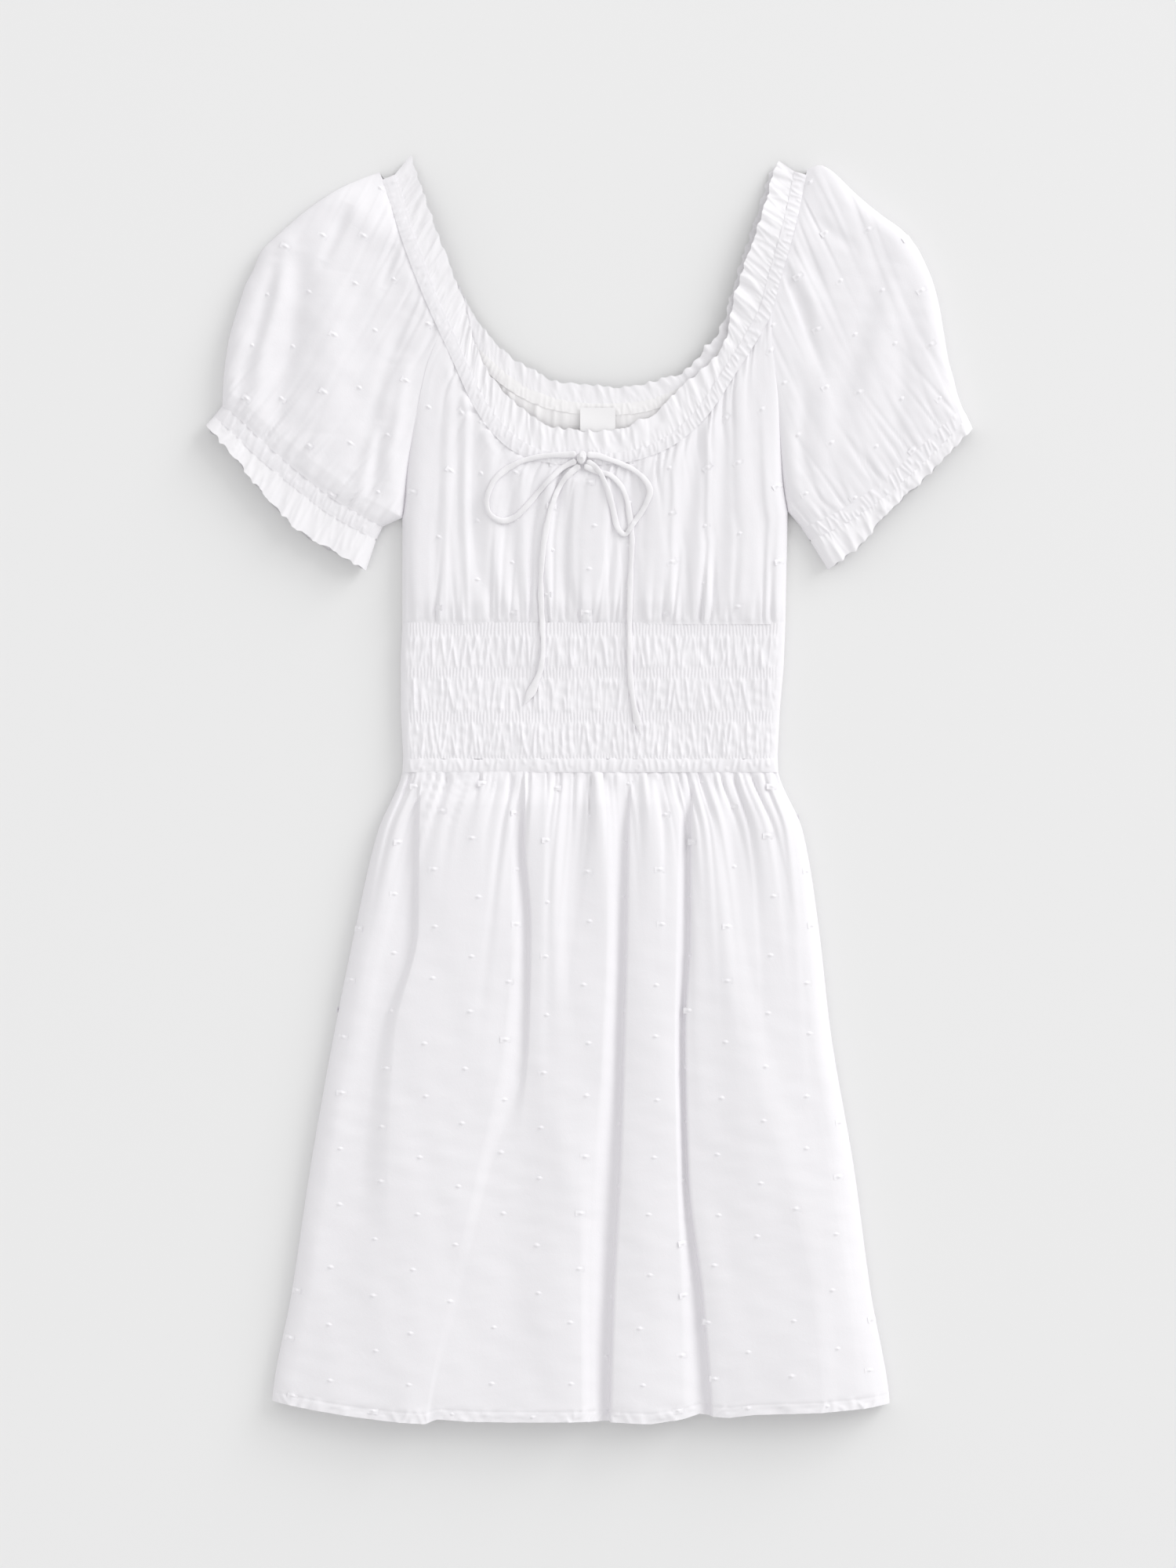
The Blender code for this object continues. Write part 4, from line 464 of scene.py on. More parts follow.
# %% [markdown]
# ## Clipped dots
# The cloth carries small clipped tufts of thread in a half-drop lattice, each with a short
# tail at both sides. They could be bumps in the material. Each is a little patch with a
# raised middle instead, laid on the cloth at the nearest point of its grid and turned with
# it, because a shape has its own light side and shadow, as on the real cloth.

# %% Clipped dots
DOT_ACROSS = 28.3              # spacing of the dots across; every second column is shifted by half a step
DOT_DOWN = 39.8                # spacing of the dots down the cloth
DOT_START = 9.0                # how far the lattice is moved down
DOT_STRAY = 2.5                # how far a dot may lie from its place
MARGIN = (slice(2, -2), slice(3, -3))      # the part of a grid that takes dots


def tufts(name, grid, up=True):
    """One patch per dot, on the cloth's own directions u and v.

    Its height is 0.85 exp(-(u/1.35)^2 - (v/1.05)^2) for the knot of thread, plus
    0.35 exp(-(u/2.5)^2 - (v/0.5)^2) for its tails, minus 0.1, so that its rim lies in the cloth.
    """
    flat = cloth_map(grid)
    low, high = flat.reshape(-1, 2).min(axis=0), flat.reshape(-1, 2).max(axis=0)
    across = np.arange(np.ceil(low[0] / DOT_ACROSS), high[0] / DOT_ACROSS)
    down = np.arange(np.floor(low[1] / DOT_DOWN), high[1] / DOT_DOWN)
    lattice = np.array([(i * DOT_ACROSS, (j + 0.5 * (i % 2)) * DOT_DOWN + DOT_START)
                        for i in across for j in down])
    lattice = lattice + np.random.default_rng(7).uniform(-DOT_STRAY, DOT_STRAY, lattice.shape)
    inner = flat[MARGIN].reshape(-1, 2)
    gap = np.linalg.norm(lattice[:, None, :] - inner[None, ::3], axis=-1)
    keep = gap.argmin(axis=1)[gap.min(axis=1) < DOT_STRAY] * 3
    step_u = np.gradient(grid, axis=1)[MARGIN].reshape(-1, 3)[keep]
    step_v = np.gradient(grid, axis=0)[MARGIN].reshape(-1, 3)[keep]
    along_u = step_u / np.linalg.norm(step_u, axis=1)[:, None]
    normal = np.cross(step_u, step_v)
    normal /= np.linalg.norm(normal, axis=1)[:, None]
    normal *= np.where((normal[:, 2] > 0) == up, 1.0, -1.0)[:, None]
    along_v = np.cross(normal, along_u)
    u, v = np.meshgrid(np.linspace(-3.8, 3.8, 13), np.linspace(-2.0, 2.0, 8))
    raised = 0.85 * np.exp(-(u / 1.35) ** 2 - (v / 1.05) ** 2)
    raised = raised + 0.35 * np.exp(-(u / 2.5) ** 2 - (v / 0.5) ** 2) - 0.1
    spots = grid[MARGIN].reshape(-1, 3)[keep][:, None]
    points = spots + u.ravel()[None, :, None] * along_u[:, None] + v.ravel()[None, :, None] * along_v[:, None]
    points = points + raised.ravel()[None, :, None] * normal[:, None]
    points[..., 2] = np.maximum(points[..., 2], 0.0)
    quads = (grid_quads(*u.shape)[None] + u.size * np.arange(len(keep))[:, None, None]).reshape(-1, 4)
    mesh = bpy.data.meshes.new(name)
    mesh.from_pydata((points.reshape(-1, 3) * MM).tolist(), [], quads.tolist())
    mesh.polygons.foreach_set("use_smooth", np.ones(len(quads), bool))
    mesh.materials.append(tuft_cotton)
    patch = bpy.data.objects.new(name, mesh)
    bpy.context.scene.collection.objects.link(patch)
    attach(patch, "root")
    print(name, len(keep), "tufts")
    return patch


print("dots per square metre", round(1e6 / (DOT_ACROSS * DOT_DOWN)))

# %% [markdown]
# ## Skirt
# The front of the skirt is one gathered panel, and its long folds are the main drawing of
# the picture. A simulated panel would fold somewhere else. So each ridge and each valley is
# a line with a place and a height at seven levels, read off, and the surface runs
# smoothly from line to line. Small gathers and grooves fan out from the waist seam, and the
# hem is a narrow band with a line of stitches above it and small slanting puckers in it.

# %% Skirt: fold lines and hem
# Skirt folds: x and height (mm) of each fold line at the levels in SKIRT_FOLDS_Y.
SKIRT_FOLDS_Y = [11.2, -29.7, -95.1, -171.4, -269.5, -356.7, -435.7]
SKIRT_FOLDS = [
    ("left side", [-130.0, -146.9, -162.1, -177.4, -194.3, -206.8, -220.4],
     [11, 12, 12, 12, 12, 12, 11]),
    ("left roll", [-125.1, -137.1, -149.0, -161.6, -177.9, -188.8, -199.7],
     [11, 13, 13.5, 13.5, 13.5, 13.5, 13]),
    ("valley a", [-119.6, -120.5, -122.0, -146.0, -158.9, -167.0, -177.9],
     [11, 10.5, 10.5, 12, 13.5, 15, 15.5]),
    ("ridge b", [-116.5, -117.5, -118.0, -134.0, -138.1, -137.1, -137.1],
     [13, 15, 15.5, 16.5, 17, 17.5, 17.5]),
    ("panel left", [-82.6, -76.0, -82.6, -93.5, -107.1, -118.0, -123.4],
     [13, 16, 17, 17.5, 18, 18.5, 18.5]),
    ("step top", [-60.8, -55.3, -54.2, -59.7, -79.3, -98.9, -113.6],
     [13, 15, 16, 17, 17.2, 17.5, 17.7]),
    ("valley c", [-45.8, -46.0, -41.8, -43.4, -69.5, -90.2, -110.5],
     [10.8, 10.5, 10.8, 12.2, 15.4, 16.6, 16.8]),
    ("c right", [-44.0, -44.3, -40.0, -41.6, -50.0, -60.0, -70.0],
     [13, 15.5, 16, 16, 15.8, 16, 16]),
    ("pressed crease", [-28.1, -27.0, -25.9, -23.7, -19.3, -16.6, -15.5],
     [14, 17, 17.5, 17.5, 18, 18, 18]),
    ("valley d", [-11.7, -12.8, -15.0, -10.1, -7.3, -6.3, -5.7],
     [13, 14, 15, 17, 17.5, 17.5, 17.5]),
    ("ridge e left", [9.0, 10.6, 11.7, 9.0, 3.0, 0.8, 1.4],
     [14, 16.5, 17, 17, 15.5, 14.5, 14]),
    ("valley e", [28.4, 26.2, 25.2, 23.4, 20.2, 15.8, 13.7],
     [10.3, 9.8, 9.2, 8.6, 8, 7.5, 7]),
    ("e right", [30.2, 28.0, 27.0, 25.2, 22.0, 17.6, 15.5],
     [12, 14.5, 15.5, 15.5, 15.5, 15.5, 15]),
    ("ridge f left", [49.3, 49.3, 48.2, 47.2, 44.4, 43.3, 41.7],
     [14, 17, 17.5, 17.5, 17.5, 17, 17]),
    ("f left", [63.0, 61.9, 60.2, 59.1, 60.8, 63.5, 64.6],
     [13, 16, 16.5, 16.5, 16.5, 16, 15.5]),
    ("valley f", [72.4, 69.4, 69.4, 65.6, 67.9, 77.9, 83.9],
     [10.5, 10, 9.8, 9.5, 9, 8.5, 8.5]),
    ("f right", [74.2, 71.2, 71.2, 67.4, 69.7, 79.7, 85.7],
     [12, 15, 15.5, 15.5, 15.5, 15.5, 15]),
    ("ridge f right", [78.8, 78.8, 80.9, 87.5, 96.2, 99.5, 98.4],
     [14, 17, 17.5, 17.5, 17.5, 17, 16.5]),
    ("ridge g", [84.2, 85.3, 90.8, 103.8, 134.4, 154.0, 160.0],
     [14, 17, 18.5, 19.5, 20, 19.5, 19.5]),
    ("valley h", [100.0, 100.0, 107.1, 125.6, 152.9, 168.1, 173.6],
     [11, 13, 16, 17, 18, 18, 17.5]),
    ("right panel", [116.4, 121.3, 128.9, 143.1, 166.0, 179.0, 186.7],
     [13, 16, 16.5, 16.5, 16.5, 16.5, 16]),
    ("right roll", [126.7, 139.8, 149.6, 158.3, 173.6, 185.6, 196.5],
     [11, 14, 14.5, 14.5, 14.5, 14.5, 14]),
    ("right side", [131.6, 148.5, 159.4, 168.1, 184.5, 195.9, 209.0],
     [11, 12, 12, 12, 12, 12, 11]),
]

# Lower edge of the skirt.
HEM = [  # x, y
    (-220.4, -425.9), (-191.6, -431.4), (-164.3, -435.7), (-137.1, -439.0), (-113.6, -440.6),
    (-106.0, -437.4), (-82.6, -439.0), (-55.3, -439.5), (-3.5, -439.0), (15.5, -439.5),
    (42.8, -440.6), (64.6, -437.4), (76.6, -434.1), (85.3, -435.7), (97.3, -436.3), (113.6, -434.1),
    (162.7, -432.5), (189.9, -430.3), (209.0, -427.6),
]

print("fold lines in the skirt", len(SKIRT_FOLDS), "at", len(SKIRT_FOLDS_Y), "levels")

# %% Rows across fold lines, and rolled sides
SIDE = 5.0                     # height of the side folds
FRONT_ROLL = 14.0              # width over which the front turns down to its side fold
BACK_ROLL = 6.0                # width over which the back turns up to it


def lines_at(table, levels, y):
    """x and height of every fold line at levels y: smooth curves through the table's rows."""
    order = np.argsort(levels)
    stations = np.array(levels, float)[order]
    xs = np.array([row[1] for row in table], float)[:, order]
    zs = np.array([row[2] for row in table], float)[:, order]
    y = np.clip(y, stations[0], stations[-1])
    part = np.clip(np.searchsorted(stations, y) - 1, 0, len(stations) - 2)
    share = (y - stations[part]) / (stations[part + 1] - stations[part])
    return between(stations, xs, part, share).T, between(stations, zs, part, share).T


def folded(table, levels, y, per_fold):
    """Rows of points across the fold lines: x runs evenly between lines, height follows the smooth curve."""
    xs, zs = lines_at(table, levels, y)
    count = xs.shape[1] - 1
    part = np.repeat(np.arange(count), per_fold)
    share = np.tile(np.arange(per_fold) / per_fold, count)
    part, share = np.append(part, count - 1), np.append(share, 1.0)
    x = xs[:, part] + (xs[:, part + 1] - xs[:, part]) * share
    return x, between(xs, zs, part, share[None, :])


def to_edge(x):
    """Distance of each point from the nearer end of its row."""
    return np.minimum(x - x[:, :1], x[:, -1:] - x)


def width_share(x):
    """Share of each row's width at each of its points."""
    return (x - x[:, :1]) / (x[:, -1:] - x[:, :1])


def quarter(from_edge, width):
    """Quarter circle: sqrt(1 - (1 - from_edge / width)^2), 0 at the edge and 1 from the width on."""
    near = np.clip(1.0 - from_edge / width, 0.0, 1.0)
    return np.sqrt(np.clip(1.0 - near ** 2, 0.0, 1.0))


def roll_up(from_edge, height, base, width):
    """Quarter ellipse from the side fold up to the panel's own height."""
    return base + (height - base) * quarter(from_edge, width)


def roll_under(from_edge, top, width=BACK_ROLL):
    """Quarter ellipse from the table up to the side fold."""
    return top * (1.0 - quarter(from_edge, width))


def graded(start, stop, count, dense_start, dense_stop):
    """count values from start to stop, closer together at the ends: a mix of t, t^2 and 1 - (1 - t)^2."""
    t = np.linspace(0.0, 1.0, count)
    t = (1.0 - dense_start - dense_stop) * t + dense_start * t ** 2 + dense_stop * (1.0 - (1.0 - t) ** 2)
    return start + (stop - start) * t


def edge_spaced(span, count):
    """Offsets from 0 to each row's span, closer together in the first and last few millimetres."""
    ends = np.array([0.0, 0.15, 0.5, 1.1, 2.0, 3.2])
    inner = np.linspace(4.6, span - 4.6, count, axis=-1)
    return np.hstack([np.broadcast_to(ends, (len(span), len(ends))), inner, span[:, None] - ends[::-1]])


def hem_at(x):
    """Level of the skirt's lower edge."""
    spots = np.array(HEM)
    return np.interp(x, spots[:, 0], spots[:, 1])


hem_left, hem_right = hem_at(np.array([-220.0, 205.0])).round(1)
print("hem from", hem_left, "at the left to", hem_right, "at the right")

# %% Skirt front
MID = 11.5                     # height of the smocked front
CASING_LOW = 11.2              # level of the waist seam
SKIRT_DROP = 449.6             # from the top of the front skirt down to its hem, in the middle
WAIST_WIDTH = 262.0
HEM_WIDENING = 1.64            # width at the hem over width at the waist
HEM_BAND = 7.0                 # depth of the turned hem
SKIRT_GATHERS = [  # kind, pitch, height, reach, seed, spread, start, share at the seam itself
    (gathers, 6.4, 2.2, 34.0, 11, 1.4, 4.0, 0.3),
    (grooves, 7.3, 2.8, 48.0, 17, 0.6, 3.0, 0.3),
    (grooves, 14.0, 2.3, 150.0, 18, 0.6, 8.0, 0.0),
    (gathers, 11.0, 1.2, 80.0, 14, 1.1, 12.0, 0.0),
]


def skirt_front_grid():
    """Height of the fold lines, plus gathers, grooves and waves down the skirt, and the hem's puckers.

    The heights start level at the waist, swell by up to 2.4 in the middle and roll down at both sides.
    """
    top = CASING_LOW + 0.5
    upper = graded(0.0, SKIRT_DROP - 12.0, 194, 0.72, 0.1)
    fall = np.append(upper, SKIRT_DROP - np.linspace(11.0, 0.0, 16))
    x, z = folded(SKIRT_FOLDS, SKIRT_FOLDS_Y, top - fall, 16)
    share = (fall / SKIRT_DROP)[:, None]
    level = top - fall[:, None] + (hem_at(x) - (top - SKIRT_DROP)) * share ** 1.5
    place = width_share(x) * WAIST_WIDTH
    down = fall[:, None] + 0.0 * place
    z = MID - 1.4 + (z - MID + 1.4) * ease(fall / 24.0)[:, None]
    z = z + 2.4 * (1.0 - ((place - 150.0) / 150.0) ** 2) * ease(down / 150.0)
    z = z + drawn_up(place, down, SKIRT_GATHERS)
    z = z + unevenness(x, level, 55.0, 0.45, 13) * ease(down / 60.0)
    z = z + unevenness(0.45 * x, level, 7.5, 0.12, 15) * ease((down - 90.0) / 220.0)
    z = z + unevenness(0.8 * x, level, 15.0, 0.12, 19) * ease((down - 40.0) / 120.0)
    to_hem = (SKIRT_DROP - fall)[:, None]
    z = z - 0.3 * np.exp(-((to_hem - HEM_BAND) / 0.8) ** 2)
    puckers = pleats(HEM_WIDENING * place, np.minimum(to_hem / HEM_BAND, 1.0), 6.2, 16, 1.1, 0.6) - 0.5
    z = z + 0.95 * puckers * (1.0 - ease((to_hem - 5.0) / 6.0))
    z = roll_up(to_edge(x), z, SIDE + 0.1, FRONT_ROLL)
    return np.stack([x, level, z], axis=-1)


grid = skirt_front_grid()
skirt_front = cloth_piece("skirt_front", grid, dotted)
tufts("skirt_front_tufts", grid)

# %% [markdown]
# ## Back of the skirt
# The back lies under the front and can't be seen in the photo. It could share the front's
# folds, but the weight of the dress presses it flat on the table. So it is flat rows between
# the same two side folds, rolled up at the sides, with small gathers below the waist.

# %% Skirt back
BACK_DROP = 449.0


def skirt_back_grid():
    """Flat rows: gathers and waves lift them, and quarter ellipses roll them up at the sides."""
    fall = graded(0.0, BACK_DROP, 90, 0.6, 0.1)
    y = CASING_LOW - 0.1 - fall
    side_x = lines_at(SKIRT_FOLDS, SKIRT_FOLDS_Y, y)[0][:, [0, -1]]
    x = side_x[:, :1] + edge_spaced(side_x[:, 1] - side_x[:, 0], 110)
    level = y[:, None] + (hem_at(x) - y[-1]) * (fall / BACK_DROP)[:, None] ** 1.5
    place = width_share(x) * 264.0
    lift = np.maximum(gathers(place, fall[:, None] + 0.0 * place, 5.6, 1.2, 26.0, 21, 1.2), -0.1)
    lift = lift + 0.12 + np.abs(unevenness(x, level, 70.0, 0.18, 23))
    edge = to_edge(x)
    z = roll_under(edge, SIDE - 0.1) + lift * ease((edge - 3.0) / 9.0) + 0.02
    return np.stack([x, level, z], axis=-1)


grid = skirt_back_grid()
skirt_back = cloth_piece("skirt_back", grid, dotted, up=False, thick=0.4, rim=False)
tufts("skirt_back_tufts", grid, up=False)

# %% [markdown]
# ## Smocked waist
# Rows of thin elastic pull the cloth into fine ribs. Between two groups of rows the cloth
# puffs up in unequal upright puckers, some of which end half way. One could press one small
# pattern into it again and again, but the eye finds the repeat at once. So the ribs are a
# ridged wave whose phase wanders, and the puckers are separate soft ridges side by side.

# %% Smocked waist
CASING_HIGH = 21.0             # level of the casing's upper edge
SMOCK_HIGH = 114.2             # level of the smocking's upper edge
SMOCK_BASE = MID - 1.3
PUFFS = [(23.0, 45.6), (53.6, 76.2), (84.0, 105.8)]       # levels between which the cloth puffs
TORSO_LEFT = [(-130.0, 11.2), (-129.4, 22.1), (-131.1, 54.8), (-131.1, 90.2), (-130.0, 114.2)]
TORSO_RIGHT = [(131.6, 11.2), (131.1, 22.1), (132.7, 54.8), (135.4, 84.7), (136.5, 114.2)]


def side_folds(y):
    """Left and right side fold of the torso at levels y."""
    left = np.array(TORSO_LEFT)
    right = np.array(TORSO_RIGHT)
    return np.interp(y, left[:, 1], left[:, 0]), np.interp(y, right[:, 1], right[:, 0])


def ribs(x, y, pitch, seed):
    """Ridged wave across: |sin| of a phase that wanders with slow waves in x and y."""
    a, b, c = np.random.default_rng(seed).uniform(0.0, 6.28, 3)
    drift = 0.8 * np.sin(x / 21.0 + a) + 0.6 * np.sin(x / 6.1 + y / 9.0 + b)
    drift = drift + 0.35 * np.sin(x / 2.9 - y / 4.0 + c)
    return np.abs(np.sin(np.pi * x / pitch + drift)) ** 0.9


def smocked_height(x, y, seed):
    """Ribs everywhere at the elastic; puckers and a soft swelling in each puff between."""
    total = np.zeros(x.shape)
    inside = np.zeros(x.shape)
    for number, (low, high) in enumerate(PUFFS):
        rows = (y[:, 0] > low - 3.0) & (y[:, 0] < high + 3.0)
        if not rows.any():
            continue
        out = (y[rows] - low) / (high - low)
        swell = ease((out + 0.10) / 0.22) * ease((1.10 - out) / 0.22)
        folds = pleats(x[rows], out, 4.1, seed + 3 * number, 0.9, 0.35, 1.2)
        folds = folds + 0.5 * pleats(x[rows], out, 2.6, seed + 3 * number + 1, 1.2, 0.15, 1.2)
        wander = unevenness(x[rows], y[rows], 9.0, 0.22, seed + 3 * number + 2)
        total[rows] += swell * (0.2 + 1.35 * folds + wander)
        inside[rows] = np.maximum(inside[rows], swell)
    thread = 0.10 * np.cos(2 * np.pi * y / 1.9)
    tight = 0.75 * ribs(x, y, 2.35, seed + 20) + thread
    return total + tight * (1.0 - inside)


def smocked_panel(y, height, columns, front, scale, seed):
    """Elastic panel between the side folds; height(x, y, seed) gives its relief, which fades at the sides."""
    left, right = side_folds(y)
    x = left[:, None] + edge_spaced(right - left, columns)
    level = y[:, None] + 0.0 * x
    edge = to_edge(x)
    relief = height(x, level, seed) * scale * ease((edge + 1.5) / 5.0)
    if front:
        z = roll_up(edge, SMOCK_BASE + relief, SIDE + 0.1, FRONT_ROLL * 0.7)
        z = z + unevenness(x, level, 80.0, 0.5, 33) * ease(edge / 14.0)
    else:
        z = roll_under(edge, SIDE - 0.1) + np.maximum(relief, 0.0) * 0.55 * ease((edge - 2.0) / 8.0) + 0.02
    return np.stack([x, level, z], axis=-1)


waist_y = np.linspace(CASING_HIGH - 0.4, SMOCK_HIGH + 1.0, 116)
grid = smocked_panel(waist_y, smocked_height, 560, True, 0.66, 31)
waist_front = cloth_piece("waist_front", grid, plain_cotton, thick=0.35)
waist_y = np.linspace(CASING_HIGH - 0.4, SMOCK_HIGH + 0.6, 60)
grid = smocked_panel(waist_y, smocked_height, 230, False, 1.0, 31)
waist_back = cloth_piece("waist_back", grid, plain_cotton, up=False, thick=0.3)

# %% [markdown]
# ## Waist casing
# Below the smocking a channel of cloth holds a wider elastic, and the skirt is sewn to it.
# A round tube would look like a cord laid on the dress. So the channel is half a round
# across, puckered like the smocking, with a broken line of stitch slots at its upper edge.

# %% Waist casing
CASING_SPAN = (CASING_LOW - 0.2, CASING_HIGH + 0.2)


def waist_casing_height(x, y, seed):
    """Swelling (1 - (2 out - 1)^2)^0.6 with puckers on it, less a row of narrow slots near the upper edge."""
    out = (y - CASING_LOW) / (CASING_HIGH - CASING_LOW)
    swell = np.clip(1.0 - (2.0 * out - 1.0) ** 2, 0.0, 1.0) ** 0.6
    folds = pleats(x, out, 4.3, seed, 0.6, 0.6, 1.2)
    slots = np.minimum(pleats(x, 0.5 + 0.0 * x, 10.5, seed + 2, 0.0, 1.0, 1.0), 1.0) ** 8
    return 0.15 + swell * (0.5 + 1.15 * folds) - 1.4 * slots * np.exp(-((y - 20.6) / 0.6) ** 2)


grid = smocked_panel(np.linspace(*CASING_SPAN, 20), waist_casing_height, 420, True, 0.8, 36)
waist_casing = cloth_piece("waist_casing_front", grid, plain_cotton, thick=0.35)
grid = smocked_panel(np.linspace(*CASING_SPAN, 10), waist_casing_height, 180, False, 0.8, 37)
waist_casing = cloth_piece("waist_casing_back", grid, plain_cotton, up=False, thick=0.3)

# %% [markdown]
# ## Bodice
# The front hangs in soft upright folds between the neck casing and the smocking. Its top
# edge is the neck seam and its sides are the raglan seams. A straight panel could be
# trimmed to that outline, but its rows would then be cut short. So each fold line is
# followed from the smocking up to where it meets the neck seam, and every row bends with
# the seams. The back is plain, and in its middle it rises to the folds that lie under it.

# %% Bodice: fold lines
# Bodice folds: x and height (mm) of each fold line at the levels in BODICE_FOLDS_Y.
BODICE_FOLDS_Y = [319.1, 275.5, 242.8, 199.2, 155.6, 114.2]
BODICE_FOLDS = [
    ("left edge", [-103.3, -116.9, -123.4, -128.3, -130.0, -130.0],
     [13, 13, 13, 13, 13, 12]),
    ("valley 1", [-96.2, -101.6, -104.4, -105.4, -106.5, -106.5],
     [13, 12, 11, 10, 10, 10]),
    ("ridge 1", [-88.0, -95.6, -98.4, -98.9, -99.4, -98.9],
     [14, 14, 14, 14, 14, 12]),
    ("valley 2", [-81.5, -90.2, -91.8, -91.8, -90.7, -89.6],
     [12, 11, 10, 10, 10, 10]),
    ("ridge 2", [-76.0, -84.2, -85.8, -86.4, -84.7, -80.9],
     [14, 15, 15, 15, 15, 13]),
    ("valley 3", [-70.6, -78.2, -79.8, -80.9, -77.6, -61.8],
     [12, 10, 9, 8.5, 9, 10]),
    ("ridge 3", [-60.8, -67.3, -68.4, -68.4, -65.1, -54.8],
     [16, 16, 17, 17, 16, 13]),
    ("valley 4", [-52.6, -57.5, -58.0, -56.4, -53.1, -47.1],
     [12, 11, 10, 9, 9, 10]),
    ("ridge 4", [-44.4, -45.5, -46.0, -46.0, -45.5, -41.1],
     [14, 15, 16, 16, 14, 12]),
    ("valley 5", [-33.5, -34.6, -36.2, -37.9, -39.0, -34.6],
     [13, 13, 12, 11, 9, 10]),
    ("ridge 5", [-25.3, -26.4, -27.0, -28.1, -29.1, -25.9],
     [14, 15, 16, 16, 15, 13]),
    ("valley 6", [-19.3, -19.3, -19.3, -18.2, -19.3, -9.0],
     [12, 11, 10, 8.5, 8.5, 9]),
    ("bulge left", [-11.7, -11.7, -11.7, -10.1, -10.1, -4.6],
     [14, 15, 16, 18, 17, 13]),
    ("bulge right", [10.1, 11.2, 12.8, 12.8, 9.0, 1.4],
     [14, 15, 16, 19, 18, 14]),
    ("bulge foot", [19.9, 19.4, 18.8, 18.3, 15.0, 7.9],
     [12, 12, 12, 11, 10, 10]),
    ("ridge 6", [26.4, 25.4, 24.8, 23.2, 19.4, 15.5],
     [14, 14, 14, 14, 12, 13]),
    ("valley 7", [33.0, 31.9, 30.8, 28.1, 24.3, 24.3],
     [12, 12, 12, 11, 9, 9]),
    ("ridge 7", [48.2, 48.2, 47.2, 46.1, 43.9, 41.7],
     [15, 16, 17, 18, 17, 13]),
    ("ridge 8", [60.2, 60.2, 60.2, 58.1, 55.3, 53.7],
     [14, 15, 16, 16, 15, 12]),
    ("valley 8", [75.5, 75.5, 74.4, 69.5, 63.5, 62.4],
     [12, 11, 9, 8.5, 8.5, 9]),
    ("ridge 9", [83.7, 84.2, 83.1, 80.9, 76.6, 75.5],
     [15, 16, 17, 17, 16, 13]),
    ("valley 9", [95.1, 94.6, 94.0, 92.9, 90.2, 89.1],
     [12, 10, 9, 8.5, 8.5, 9.5]),
    ("ridge 10", [104.9, 103.8, 103.3, 103.3, 102.7, 101.7],
     [15, 15, 16, 16, 15, 13]),
    ("valley 10", [112.6, 113.1, 113.6, 116.4, 120.2, 118.0],
     [13, 13, 12, 11, 11, 11]),
    ("ridge 11", [120.2, 122.9, 125.1, 127.3, 128.9, 127.3],
     [14, 14, 14, 14, 13, 12]),
    ("right edge", [126.7, 130.5, 133.3, 136.0, 137.1, 136.5],
     [13, 13, 13, 13, 13, 12]),
]

print("fold lines in the bodice", len(BODICE_FOLDS), "at", len(BODICE_FOLDS_Y), "levels")

# %% Seams of the bodice
# Left raglan seam of the front, from the underarm to the neck casing.
RAGLAN_LEFT = [  # x, y
    (-130.0, 188.3), (-128.3, 200.8), (-126.7, 221.0), (-123.4, 242.8), (-119.1, 264.6),
    (-113.1, 291.8), (-107.6, 307.1), (-103.3, 316.4),
]

# Right raglan seam of the front, from the underarm to the neck casing.
RAGLAN_RIGHT = [  # x, y
    (138.2, 192.7), (135.4, 210.1), (133.8, 231.9), (132.7, 251.0), (131.1, 272.8), (128.4, 294.6),
    (126.7, 313.6), (126.7, 331.1),
]

# Left raglan seam of the back.
RAGLAN_LEFT_BACK = [  # x, y
    (-130.0, 188.3), (-126.2, 204.6), (-120.7, 226.4), (-114.7, 251.0), (-108.7, 275.5),
    (-102.7, 297.3), (-98.9, 308.2), (-95.6, 316.4),
]

# Right raglan seam of the back.
RAGLAN_RIGHT_BACK = [  # x, y
    (138.2, 192.7), (134.4, 207.4), (130.0, 226.4), (126.2, 248.2), (122.9, 270.0), (119.1, 289.1),
    (115.3, 303.8), (110.9, 319.1),
]

# Seam under the front neck casing, from the left shoulder round to the right.
NECK_SEAM = [  # x, y
    (-143.6, 423.7), (-137.1, 405.2), (-131.1, 385.6), (-124.0, 365.4), (-115.3, 343.6),
    (-108.7, 328.4), (-103.3, 316.4), (-94.5, 297.3), (-86.9, 279.9), (-79.3, 264.6),
    (-68.9, 249.3), (-55.3, 236.3), (-39.0, 228.6), (-19.9, 225.4), (-0.8, 224.8), (21.0, 225.9),
    (40.1, 230.3), (56.4, 237.3), (70.0, 247.2), (82.0, 259.1), (91.8, 272.8), (101.7, 288.6),
    (112.0, 304.4), (120.2, 318.0), (126.7, 331.1), (130.5, 346.3), (134.4, 360.0), (139.8, 379.0),
    (145.3, 400.8), (150.7, 427.0),
]

# Seam under the back neck casing.
BACK_SEAM = [  # x, y
    (-142.5, 423.7), (-136.5, 405.2), (-130.5, 385.6), (-123.4, 365.4), (-114.7, 345.3),
    (-106.0, 328.9), (-95.6, 316.4), (-86.9, 305.5), (-76.0, 294.0), (-65.1, 284.2), (-53.1, 275.0),
    (-36.8, 266.8), (-19.9, 261.9), (-0.8, 259.7), (21.0, 259.7), (40.1, 261.9), (58.1, 267.9),
    (74.4, 276.0), (88.6, 288.6), (100.0, 303.8), (110.9, 319.1), (116.9, 332.2), (122.4, 347.4),
    (128.9, 368.1), (134.4, 385.6), (140.4, 405.2), (150.2, 427.0),
]

for seam_name, seam in (("front", NECK_SEAM), ("back", BACK_SEAM)):
    print("neck seam,", seam_name, round(float(arc(curve(seam))[-1])), "mm")

